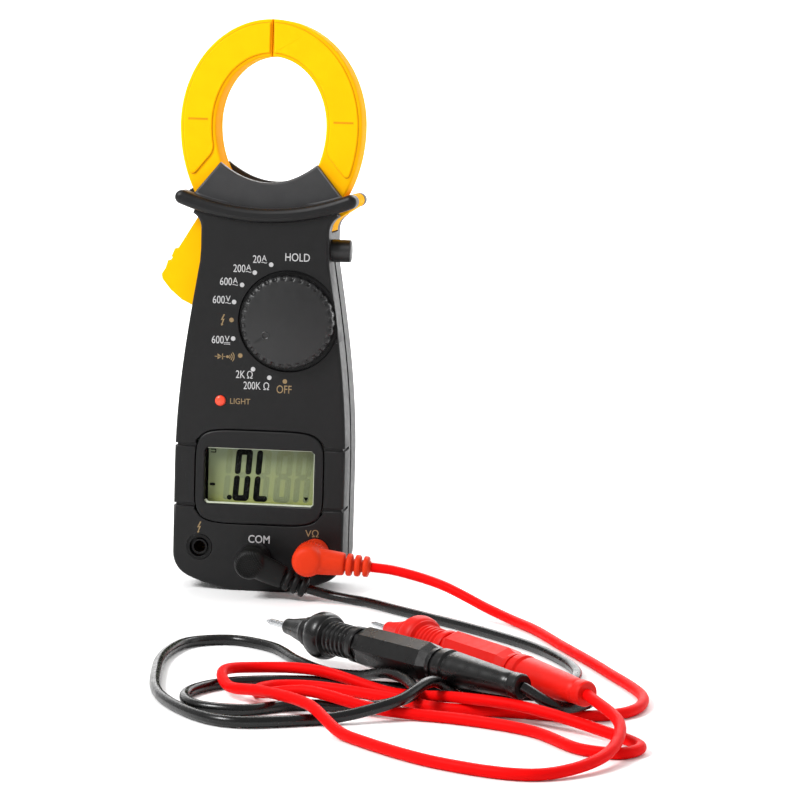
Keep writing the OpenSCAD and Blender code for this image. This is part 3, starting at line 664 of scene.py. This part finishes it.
TRIGGER = [(-22, 134), (-24.5, 131.5), (-32.2, 118.8), (-33.1, 119.2), (-34.2, 116.4), (-33.8, 116.1),
    (-34.6, 114.8), (-35.4, 115), (-36.3, 112.2), (-37.6, 110.1), (-37.3, 108.4), (-34.4, 104.8),
    (-30.2, 101.3), (-25.8, 99.2), (-20, 98.8), (-19, 99.4), (-13.5, 113), (-11, 122), (-8, 131)]
# The mark on a jaw's face, a groove drawn as a flat strip darkened with painted shade: its middle, and half its
# width and height
MARK_AT = (25.6, 164.8)
MARK_HALF = (3.5, 0.35)


def jaws():
    """Both jaws in two halves each, with a raised pad, a fine line round its foot and a mark on each face, both
    line and mark darker as painted shade.
    """

    def off_seam(p):
        return abs(p.x) > 3

    halves = (("front", -JAW_FACE, JAW_SPLIT), ("rear", JAW_SPLIT, JAW_FACE))

    def rims(half, seen, hidden):
        return (seen, hidden) if half == "front" else (hidden, seen)

    for side, name, body in ((-1, "moving", "moving_jaw"), (1, "fixed", "housing")):
        for half, y0, y1 in halves:
            node = "%s_jaw_%s" % (name, half)
            shell = prism(node + "_band", band(side, BAND_END), y0, y1, YELLOW, body,
                rims=rims(half, 0.8, 0.12))
            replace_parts(shell, node)
            facing = -1 if half == "front" else 1
            root, top = facing * (JAW_FACE - 0.2), facing * (JAW_FACE + PAD_RISE)
            prism(node + "_pad", pad(side), min(root, top), max(root, top), YELLOW, body,
                corner=2.4, rims=rims(half, 0.45, 0), cut=off_seam, angle=20)
            # A thin darker ring round the pad's foot: painted shade where the pad rises from the face
            line = facing * (JAW_FACE + 0.04)
            prism(node + "_pad_line", pad(side, grow=0.2), min(root, line), max(root, line), PAD_FOOT_SHADE,
                body, corner=2.5, cut=off_seam, angle=20)
            (x, z), (w, h) = MARK_AT, MARK_HALF
            shaded_mark = [(side * (x + i), z + j) for i, j in ((-w, -h), (w, -h), (w, h), (-w, h))]
            prism(node + "_mark", shaded_mark, top - 0.06, top + 0.06, MARK_SHADE, body)
    for half, y0, y1 in halves:
        prism("trigger_" + half, TRIGGER, y0, y1, YELLOW, "moving_jaw",
            rims=rims(half, 0.22, 0.05))
        prism("guard_layer_" + half, guard_layer(), y0, y1, YELLOW, "housing", rims=(0.1, 0.1))


# The guard's arc: radius, lowest height, thickness and half width
GUARD_R, GUARD_Z, GUARD_T, GUARD_HALF = 79, 132, 4.9, 29.4


def guard_layer():
    """The fixed jaw's own layer of the guard and shoulder, seen from the right."""
    mid = GUARD_Z + GUARD_R
    end = math.asin(GUARD_HALF / GUARD_R)
    outline = []
    for i in range(9):
        a = math.radians(12) + (end - math.radians(12)) * i / 8
        r = GUARD_R - GUARD_T / 2
        outline.append((r * math.sin(a), mid - r * math.cos(a)))
    tip = (GUARD_R * math.sin(end), mid - GUARD_R * math.cos(end))
    for i in range(9):
        a = end + math.pi / 2 - math.pi * i / 8
        outline.append((tip[0] + GUARD_T / 2 * math.cos(a), tip[1] + GUARD_T / 2 * math.sin(a)))
    return outline + shoulder() + [(16, SHOULDER_LOW)]


# ---------------------------------------------------------------- the dial

KNOB_R = 16.2
FACE_R, DOME = 13, 0.8
GRIPS, STEPS_PER_GRIP = 32, 12
POINTER = math.radians(214)
DIMPLE_OUT = 8.6


def dial_knob():
    """The knob: a domed face, a rim cut by wedge-shaped notches, and a dimple and line as its pointer, the line
    darkened as painted shade.
    """
    sides = GRIPS * STEPS_PER_GRIP

    def notch(k):
        phase = (k / STEPS_PER_GRIP) % 1
        return min(1, 1.9 * max(0, 1 - abs(phase - 0.5) / 0.3))

    def face(r):
        return KNOB_TOP + DOME * (r / FACE_R) ** 2

    def on_ring(k, r, y):
        a = 2 * math.pi * k / sides
        return at(KNOB_AT[0] + r * math.cos(a), y, KNOB_AT[1] + r * math.sin(a))

    # depth behind the face, inset from the rim, how far a notch cuts inward, and how far it cuts back
    levels = [(6.4, 0, 0.25, 0), (2.0, 0, 0.45, 0), (1.2, 0.08, 0.4, 0), (0.75, 0.3, 0.1, 0.5),
        (0.45, 0.75, 0, 0.9), (0.25, 1.25, 0, 0.8), (0.15, 1.6, 0, 0.0), (0.07, 2.3, 0, 0), (0, 3.2, 0, 0)]
    rings = [[on_ring(k, KNOB_R - inset - inward * notch(k), face(FACE_R) + deep + back * notch(k))
        for k in range(sides)] for deep, inset, inward, back in levels]
    rings += [[on_ring(k, r, face(r)) for k in range(sides)] for r in (11, 9, 6, 3, 1)]
    knob = from_rings("knob", rings, KNOB_BLACK, "dial", angle=50)
    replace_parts(knob, "dial_knob")
    along, across = axes(POINTER)
    centre = Vector((KNOB_AT[0], 0, KNOB_AT[1]))
    dimple = centre + along * DIMPLE_OUT
    profile = [(-0.2, 1.5), (0.02, 1.45), (0.12, 1.32), (0.14, 1.2), (0.06, 1.08), (-0.02, 0.9), (-0.1, 0.5),
        (-0.12, 0.1)]
    turned("pointer_dimple", profile, at(dimple.x, face(DIMPLE_OUT) - 0.06, dimple.z), (0, -1, 0),
        KNOB_BLACK, "dial", sides=32)
    line = [centre + along * i + across * j
        for i, j in ((10.2, -0.42), (13.4, -0.16), (13.4, 0.16), (10.2, 0.42))]
    prism("pointer_line", [(p.x, p.z) for p in line], KNOB_TOP + 0.4, KNOB_TOP + 1.2, POINTER_SHADE, "dial")


# ---------------------------------------------------------------- the display

def figures(name, outlines, y0, y1, material, body):
    """Many flat outlines of (x, z) points in mm as one thin piece."""
    bm = bmesh.new()
    for layer, outline in enumerate(outlines):
        # Each a hair in front of the last, so that overlapping outlines don't share a plane
        front = [bm.verts.new(at(x, y0 - 0.0007 * layer, z)) for x, z in outline]
        back = [bm.verts.new(at(x, y1, z)) for x, z in outline]
        bm.faces.new(front)
        bm.faces.new(reversed(back))
        for i in range(len(outline)):
            j = (i + 1) % len(outline)
            bm.faces.new((front[j], front[i], back[i], back[j]))
    bmesh.ops.recalc_face_normals(bm, faces=bm.faces)
    new_object(name, to_mesh(bm, name), material, body)


def capsule(a, b, width, points=7):
    """Outline of a straight bar from a to b with round ends."""
    a, b = Vector(a), Vector(b)
    turn = math.atan2((b - a).y, (b - a).x)
    outline = []
    for centre, start in ((b, turn - math.pi / 2), (a, turn + math.pi / 2)):
        for i in range(points):
            angle = start + math.pi * i / (points - 1)
            outline.append(tuple(centre + Vector((math.cos(angle), math.sin(angle))) * width / 2))
    return outline


def disc(x, z, r, points=24):
    return [(x + r * math.cos(2 * math.pi * i / points), z + r * math.sin(2 * math.pi * i / points))
        for i in range(points)]


def digit(x, bars, width=5.9, low=32.3, high=48.7, thick=2.1, lean=0.075):
    """The bars of one slanted seven-bar digit whose left edge is at x."""
    half = (low + high) / 2
    gap, close = thick * 0.6, thick * 0.12
    left, right = x + thick / 2, x + width - thick / 2
    ends = {
        "a": ((left + close, high), (right - close, high)), "d": ((left + close, low), (right - close, low)),
        "g": ((left + gap, half), (right - gap, half)),
        "f": ((left, half + gap), (left, high - close)), "e": ((left, low + close), (left, half - gap)),
        "b": ((right, half + gap), (right, high - close)), "c": ((right, low + close), (right, half - gap)),
    }
    return [[(px + lean * (pz - half), pz) for px, pz in capsule(*ends[bar], thick)] for bar in bars]


def display():
    """The glass, its dark and faint bars, a dark strip of painted shade at its left end and the window's edges
    in pale painted highlight.
    """
    for node, finish in (("lcd_glass", LCD), ("display_window", CLEAR)):
        for place in NODES[node].material_slots:
            place.material = finish
    dark = digit(-9.5, "abcdef") + digit(-2.1, "def", width=5.3) + [
        disc(-11.1, 32.4, 0.9), capsule((-17.8, 36.8), (-16.7, 36.8), 0.95),
        [(15.3, 33.5), (17.0, 33.5), (16.2, 31.9)],
        capsule((-17.9, 49.2), (-16.5, 49.2), 0.35), capsule((-17.9, 48.2), (-16.5, 48.2), 0.35),
        capsule((-16.3, 49.2), (-16.3, 48.2), 0.35)]
    faint = digit(-16.6, "bc") + digit(-9.5, "g") + digit(-2.1, "abcg", width=5.3) + digit(5.0, "abcdefg")
    faint += digit(12.1, "abcefg", width=5.6)
    # A dark strip along the field's left end: painted shade, where the window's wall shades the glass
    left_shade = [[(-20.2, 31), (-18.75, 31), (-18.75, 50), (-20.2, 50)]]
    for name, outlines, rise, ink in (("lcd_segments", dark, 0.045, DARK_BARS_AND_SHADE),
            ("lcd_faint_segments", faint, 0.02, SEGMENT_OFF), ("lcd_left_shade", left_shade, 0.04, DARK_BARS_AND_SHADE)):
        figures(name, outlines, GLASS_FRONT - rise, GLASS_FRONT + 0.02, ink, "housing")
    # The window's edge, drawn as a pale painted highlight: half width, half height, cut corner, and how broad
    # the highlight is
    w, h, c = 19.4, 9.9, 1.0
    thin, broad = 0.28, 0.5
    front, back = -14.2, -13.2
    edges = [
        [(-w + c, h), (w - c, h), (w - c, h - thin), (-w + c, h - thin)],
        [(w, h - c), (w, -h + c), (w - thin, -h + c), (w - thin, h - c)],
        [(-w + c, -h), (-w + c, -h + broad), (w - c, -h + broad), (w - c, -h)],
        [(w - c, h), (w, h - c), (w - thin, h - c), (w - c, h - thin)],
        [(w - c, -h), (w, -h + c), (w - thin, -h + c), (w - c, -h + broad)],
        [(-w, -h + c), (-w + c, -h), (-w + c + 0.4, -h + broad), (-w + 0.5, -h + c + 0.4)],
    ]
    edges = [[(x, WINDOW_Z + z) for x, z in outline] for outline in edges]
    figures("window_highlight", edges, front, back, WINDOW_HIGHLIGHT, "housing")


# ---------------------------------------------------------------- printing

PRINT_Y = CASE_FRONT - 0.03
OHM = "\u03a9"


def letters(text, x, z, width, height, boldness=0.002):
    """Flat letters fitted into a box centred on (x, z), in mm, as (points, faces)."""
    curve = bpy.data.curves.new("letters", "FONT")
    curve.body = text
    curve.offset = boldness
    curve.resolution_u = 4
    holder = bpy.data.objects.new("letters", curve)
    bpy.context.collection.objects.link(holder)
    mesh = bpy.data.meshes.new_from_object(holder)
    points = [v.co.copy() for v in mesh.vertices]
    faces = [tuple(f.vertices) for f in mesh.polygons]
    bpy.data.objects.remove(holder)
    bpy.data.curves.remove(curve)
    bpy.data.meshes.remove(mesh)
    low = Vector((min(p.x for p in points), min(p.y for p in points)))
    high = Vector((max(p.x for p in points), max(p.y for p in points)))
    fit = [((p.x - low.x) / (high.x - low.x) - 0.5, (p.y - low.y) / (high.y - low.y) - 0.5) for p in points]
    return [(x + u * width, z + v * height) for u, v in fit], faces


def printed(name, texts, outlines, material):
    """One piece of printing on the case's face: texts from letters(), and plain outlines."""
    bm = bmesh.new()
    for points, faces in texts:
        row = [bm.verts.new(at(px, PRINT_Y, pz)) for px, pz in points]
        for face in faces:
            if bm.faces.get([row[i] for i in face]) is None:
                bm.faces.new([row[i] for i in face])
    for outline in outlines:
        bm.faces.new([bm.verts.new(at(px, PRINT_Y, pz)) for px, pz in outline])
    for face in bm.faces:
        face.normal_update()
        if face.normal.y > 0:
            face.normal_flip()
    new_object(name, to_mesh(bm, name), material, "housing")


def bolt(x, z, size):
    """A small lightning mark."""
    shape = [(0.15, 1), (-0.35, -0.1), (0.0, -0.02), (-0.2, -0.75), (-0.34, -0.7), (-0.2, -1.1), (0.1, -0.8),
        (-0.03, -0.76), (0.34, 0.2), (-0.02, 0.12), (0.38, 0.95)]
    return [(x + size * u, z + size * v) for u, v in shape]


def ripple(x, z, width):
    """The small wave for alternating current."""
    steps = 10
    line = [(x + width * (i / steps - 0.5), z + 0.13 * math.sin(2 * math.pi * i / steps))
        for i in range(steps + 1)]
    return [(u, v + 0.12) for u, v in line] + [(u, v - 0.12) for u, v in reversed(line)]


def bar(x0, x1, z, thick=0.3):
    return [(x0, z - thick / 2), (x1, z - thick / 2), (x1, z + thick / 2), (x0, z + thick / 2)]


def labels():
    """The ranges around the dial, the buttons' and jacks' names, and the dots."""
    cx, cz = KNOB_AT
    white, tan, white_shapes, tan_shapes = [], [], [], []
    for number, unit, x, z, current in (("20", "A", -10.5, 21.3, "~"), ("200", "A", -16.6, 17.9, "~"),
            ("600", "A", -21.2, 13.2, "~"), ("600", "V", -23.6, 6.75, "~"), ("600", "V", -23.65, -7.25, "=")):
        wide = 1.42 * len(number)
        x0 = cx + x - (wide + 2.1) / 2
        white.append(letters(number, x0 + wide / 2, cz + z, wide, 2.7))
        u = x0 + wide + 1.15
        white.append(letters(unit, u, cz + z + 0.45, 1.7, 2.0))
        if current == "~":
            white_shapes.append(ripple(u, cz + z - 1.1, 2.0))
        else:
            white_shapes.append(bar(u - 1.1, u + 1.1, cz + z - 1.0, 0.22))
            white_shapes += [bar(u - 1.1 + 0.8 * i, u - 0.5 + 0.8 * i, cz + z - 1.5, 0.22) for i in range(3)]
    white.append(letters("2K", cx - 16.4, cz - 19.1, 3.3, 2.7))
    white.append(letters(OHM, cx - 13.1, cz - 19.1, 2.0, 2.7))
    white.append(letters("200K", cx - 12.2, cz - 22.9, 6.1, 2.7))
    white.append(letters(OHM, cx - 7.2, cz - 22.9, 2.0, 2.7))
    white.append(letters("HOLD", cx + 2.7, cz + 22.4, 8.6, 2.8))
    white.append(letters("COM", 0.5, 18.6, 7.6, 2.8, 0.01))
    tan.append(letters("OFF", cx - 0.9, cz - 23.8, 5.3, 2.8))
    tan.append(letters("LIGHT", -7.3, 67, 7.1, 2.0))
    tan.append(letters("V" + OHM, 19.2, 21.5, 4.7, 2.6))
    tan_shapes += [bolt(cx - 23.1, cz - 0.2, 1.95), bolt(-20.9, 22, 2.0)]
    x, z = cx - 22.05, cz - 13.1
    tan_shapes += [bar(x - 3.6, x + 0.2, z, 0.25), [(x - 2.6, z - 1.0), (x - 1.0, z), (x - 2.6, z + 1.0)],
        [(x - 1.0, z - 1.0), (x - 0.7, z - 1.0), (x - 0.7, z + 1.0), (x - 1.0, z + 1.0)],
        disc(x + 0.9, z, 0.5)]
    for r in (1.1, 1.8, 2.5):
        arc = [math.radians(-40 + 80 * k / 8) for k in range(9)]
        tan_shapes.append([(x + 0.9 + r * math.cos(a), z + r * math.sin(a)) for a in arc]
            + [(x + 0.9 + (r - 0.3) * math.cos(a), z + (r - 0.3) * math.sin(a)) for a in reversed(arc)])
    white_dots = ((-6.5, 19.55), (-12.2, 16.6), (-16.55, 12.15), (-19.25, 6.1), (-19.3, -6.7), (-12, -17.15),
        (-6.2, -19.9))
    tan_dots = ((-20, -0.2), (-16.65, -12.55), (-0.7, -21))
    white_shapes += [disc(cx + u, cz + v, 0.8) for u, v in white_dots]
    tan_shapes += [disc(cx + u, cz + v, 0.8) for u, v in tan_dots]
    printed("white_printing", white, white_shapes, INK_WHITE)
    printed("tan_printing", tan, tan_shapes, INK_TAN)


# ---------------------------------------------------------------- buttons and jacks


DOME_BACK = -12.6
BUSH_FRONT = -14.2


def small_parts():
    """The light button's dome and the jacks' bushes."""
    profile = [(0, 1.85), (2.6, 1.85), (2.9, 1.8), (3.15, 1.6), (3.35, 1.2), (3.47, 0.7), (3.52, 0.15)]
    dome = turned("light_dome", profile, at(LIGHT_AT[0], DOME_BACK, LIGHT_AT[1]), (0, -1, 0), BUTTON_RED,
        "light_button", sides=40)
    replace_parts(dome, "light_button")
    soft_edges("jack_bushes", "housing", JACK_BLACK, [(0.12, lambda m: m.y < BUSH_FRONT)],
        tidy=0.2)


# ---------------------------------------------------------------- plugs


def melted(name, parts, voxel, rounds, material, body):
    """Several closed meshes run together into one moulded form, with soft fillets where they meet."""
    bm = bmesh.new()
    for part in parts:
        bm.from_mesh(part)
        bpy.data.meshes.remove(part)
    mesh = to_mesh(bm, name)
    rough = bpy.data.objects.new(name + "_rough", mesh)
    bpy.context.collection.objects.link(rough)
    remesh = rough.modifiers.new("remesh", "REMESH")
    remesh.mode = "VOXEL"
    remesh.voxel_size = voxel * MM
    relax = rough.modifiers.new("relax", "SMOOTH")
    relax.iterations = rounds
    relax.factor = 0.5
    done = bpy.data.meshes.new_from_object(rough.evaluated_get(bpy.context.evaluated_depsgraph_get()))
    bpy.data.objects.remove(rough)
    bpy.data.meshes.remove(mesh)
    for face in done.polygons:
        face.use_smooth = True
    done.name = name
    return new_object(name, done, material, body)


# Where the arm's axis is, as Y in mm, and its slope in degrees
PLUG_ARMS = {"red": (-33, -3.6), "black": (-29, -22)}
PLUG_BACK = -15.25
RIB_RADII = (4.15, 4.0, 3.85)


def plug(colour, material):
    """A right-angled plug: a knob-like head over the pin, a round arm, and three thick ribs on its tail."""
    x, z = middle(colour + "_plug_pin")
    arm_y, slope = PLUG_ARMS[colour]
    slope = math.radians(slope)
    out = axes(slope)[0]
    reach = PLUG_BACK - arm_y
    head = [(0, 4.85), (2.2, 4.9), (3.4, 5.1), (reach - 9, 5.2), (reach - 6.5, 5.6), (reach - 4, 5.55),
        (reach - 2.2, 5.2), (reach - 0.5, 5.4), (reach + 1.8, 5.5), (reach + 3.6, 5.3), (reach + 4.8, 4.7),
        (reach + 5.4, 3.7), (reach + 5.6, 2.2), (reach + 5.65, 0.4)]
    arm = [(0, 4.6), (5, 4.5), (8, 4.3), (11, 4.05), (12.3, 3.95), (12.8, 3.4)]
    parts = [skin("head", lathed(head, at(x, PLUG_BACK, z), (0, -1, 0), 64)),
        skin("arm", lathed(arm, at(x, arm_y, z), out, 48))]
    body = melted(colour + "_plug", parts, 0.33, 10, material, "housing")
    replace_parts(body, colour + "_plug_body")
    tail = [(0, 2.5)]
    for i, r in enumerate(RIB_RADII):
        b = 0.75 + 2.9 * i
        tail += [(b, 2.5 - 0.12 * i), (b + 0.05, r - 0.6), (b + 0.25, r - 0.2), (b + 0.6, r), (b + 1.5, r),
            (b + 1.85, r - 0.2), (b + 2.05, r - 0.6), (b + 2.1, 2.45 - 0.12 * i)]
    tail += [(9.1, 2.1), (9.2, 1.9)]
    relief = turned(colour + "_relief", tail, at(x, arm_y, z) + out * 12.6 * MM, out, material, "housing",
        sides=40, angle=60, shape=lambda t, d: 1 - 0.07 * max(0, math.cos(2 * t)) if d > 0.7 else 1)
    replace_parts(relief, colour + "_strain_relief")
    if colour == "red":
        knurls("red_plug_knurls", x, arm_y, z, slope, material)
    else:
        ribs("black_plug_ribs", x, arm_y, z, material)


def knurls(name, x, arm_y, z, slope, material):
    """Small bars around a plug's head, except where the arm leaves it."""
    count, ring_r = 34, 5.3
    bm = bmesh.new()
    for k in range(count):
        t = 2 * math.pi * k / count
        if abs(math.atan2(math.sin(t - slope), math.cos(t - slope))) < 0.75:
            continue
        centre = at(x + ring_r * math.cos(t), arm_y + 5.4, z + ring_r * math.sin(t))
        turn = Matrix.Rotation(-t, 4, "Y")
        bmesh.ops.create_cube(bm, size=1, matrix=Matrix.Translation(centre) @ turn
            @ Matrix.Diagonal((0.0009, 0.0046, 0.0005, 1)))
    bmesh.ops.bevel(bm, geom=bm.edges[:], offset=0.00016, segments=2, profile=0.5, affect="EDGES")
    mesh = to_mesh(bm, name)
    smooth(mesh, 40)
    new_object(name, mesh, material, "housing")


def ribs(name, x, arm_y, z, material):
    """Slanted ribs across a plug's round face, bending back over its edge."""
    along, across = axes(math.radians(-58))
    face_y, face_r, flat_r = arm_y - 5.6, 4.75, 3.4
    pitch, steps = 0.68, 16
    bm = bmesh.new()
    for i in range(-7, 8):
        off = i * pitch
        half = math.sqrt(max(0, face_r ** 2 - off ** 2))
        if half < 1:
            continue
        rows = []
        for k in range(steps + 1):
            w = -half + 2 * half * k / steps
            r = math.hypot(w, off)
            y = face_y + 0.02 + (0.0 if r < flat_r else 1.25 * ((r - flat_r) / 1.5) ** 2)
            centre = Vector((x, 0, z)) + along * w + across * off
            rows.append([bm.verts.new(at(centre.x + across.x * q, y + h, centre.z + across.z * q))
                for q, h in ((-0.24, 0.3), (-0.1, -0.24), (0.1, -0.24), (0.24, 0.3))])
        for p, q in zip(rows, rows[1:]):
            for j in range(3):
                bm.faces.new((p[j], p[j + 1], q[j + 1], q[j]))
    bmesh.ops.recalc_face_normals(bm, faces=bm.faces)
    mesh = to_mesh(bm, name)
    mesh.set_sharp_from_angle(angle=math.radians(60))
    new_object(name, mesh, material, "housing")


def probes():
    """The probes keep their CAD parts, with rounded edges on the grips."""
    for colour in ("black", "red"):
        for part, width in (("handle", 0.35), ("tail", 0.15), ("guard", 0.12)):
            node = NODES["%s_probe_%s" % (colour, part)]
            weld = node.modifiers.new("weld", "WELD")
            weld.merge_threshold = 0.000004
            round_off = node.modifiers.new("round", "BEVEL")
            round_off.width = width * MM
            round_off.segments = 3
            round_off.limit_method = "ANGLE"
            round_off.angle_limit = math.radians(24)
            round_off.use_clamp_overlap = True


# ---------------------------------------------------------------- surroundings


def area_light(name, place, target, size, power):
    light = bpy.data.lights.new(name, "AREA")
    light.shape = "RECTANGLE"
    light.size, light.size_y = size
    light.energy = power
    obj = bpy.data.objects.new(name, light)
    bpy.context.collection.objects.link(obj)
    obj.location = place
    obj.rotation_mode = "QUATERNION"
    obj.rotation_quaternion = (Vector(target) - Vector(place)).to_track_quat("-Z", "Y")


def surroundings():
    """A pale floor that curves up into a backdrop well behind the part, and soft lights."""
    world = bpy.data.worlds.new("world")
    world.use_nodes = True
    world.node_tree.nodes["Background"].inputs["Color"].default_value = (1, 1, 1, 1)
    world.node_tree.nodes["Background"].inputs["Strength"].default_value = 0.55
    bpy.context.scene.world = world
    mesh = bpy.data.meshes.new("floor")
    reach, bend, start, top = 3.5, 0.8, 1.9, 2.4
    profile = [(-reach, 0), (start, 0)]
    profile += [(start + bend * math.sin(math.radians(a)), bend - bend * math.cos(math.radians(a)))
        for a in range(6, 91, 6)]
    profile.append((start + bend, top))
    corners = [(x, y, z) for y, z in profile for x in (-reach, reach)]
    mesh.from_pydata(corners, [], [(2 * i, 2 * i + 1, 2 * i + 3, 2 * i + 2) for i in range(len(profile) - 1)])
    smooth(mesh)
    floor = bpy.data.objects.new("floor", mesh)
    bpy.context.collection.objects.link(floor)
    s = Shade("floor_paper")
    tint = s.ramp(s.noise(0.05, 3.0), [(0.3, (0.95, 0.95, 0.95)), (0.7, (0.97, 0.97, 0.97))])
    s.link(tint, s.shader.inputs["Base Color"])
    s.bump(s.noise(0.001, 3.0), 0.00002)
    s.set(Roughness=0.8, Specular_IOR_Level=0.2)
    mesh.materials.append(s.material)
    middle_of_part = (0.04, -0.05, 0.08)
    area_light("key", (-0.55, -0.6, 0.75), (0.02, -0.05, 0.1), (0.35, 0.35), 11)
    area_light("side", (0.95, -0.05, 0.45), middle_of_part, (0.35, 0.9), 1.2)
    area_light("back", (0.1, 0.75, 0.9), middle_of_part, (0.9, 0.5), 5.5)
    area_light("backdrop", (0, 1.5, 1.9), (0, 2.75, 0.5), (2.4, 0.6), 75)
    scene = bpy.context.scene
    scene.view_settings.view_transform = "Standard"
    scene.view_settings.look = "None"


make_camera()
lead("black_lead", BLACK_ROUTE, CORD_BLACK)
lead("red_lead", RED_ROUTE, CORD_RED)
finish_nodes()
case_shells()
jaws()
dial_knob()
display()
labels()
small_parts()
plug("red", PLUG_RED)
plug("black", PLUG_BLACK)
probes()
surroundings()
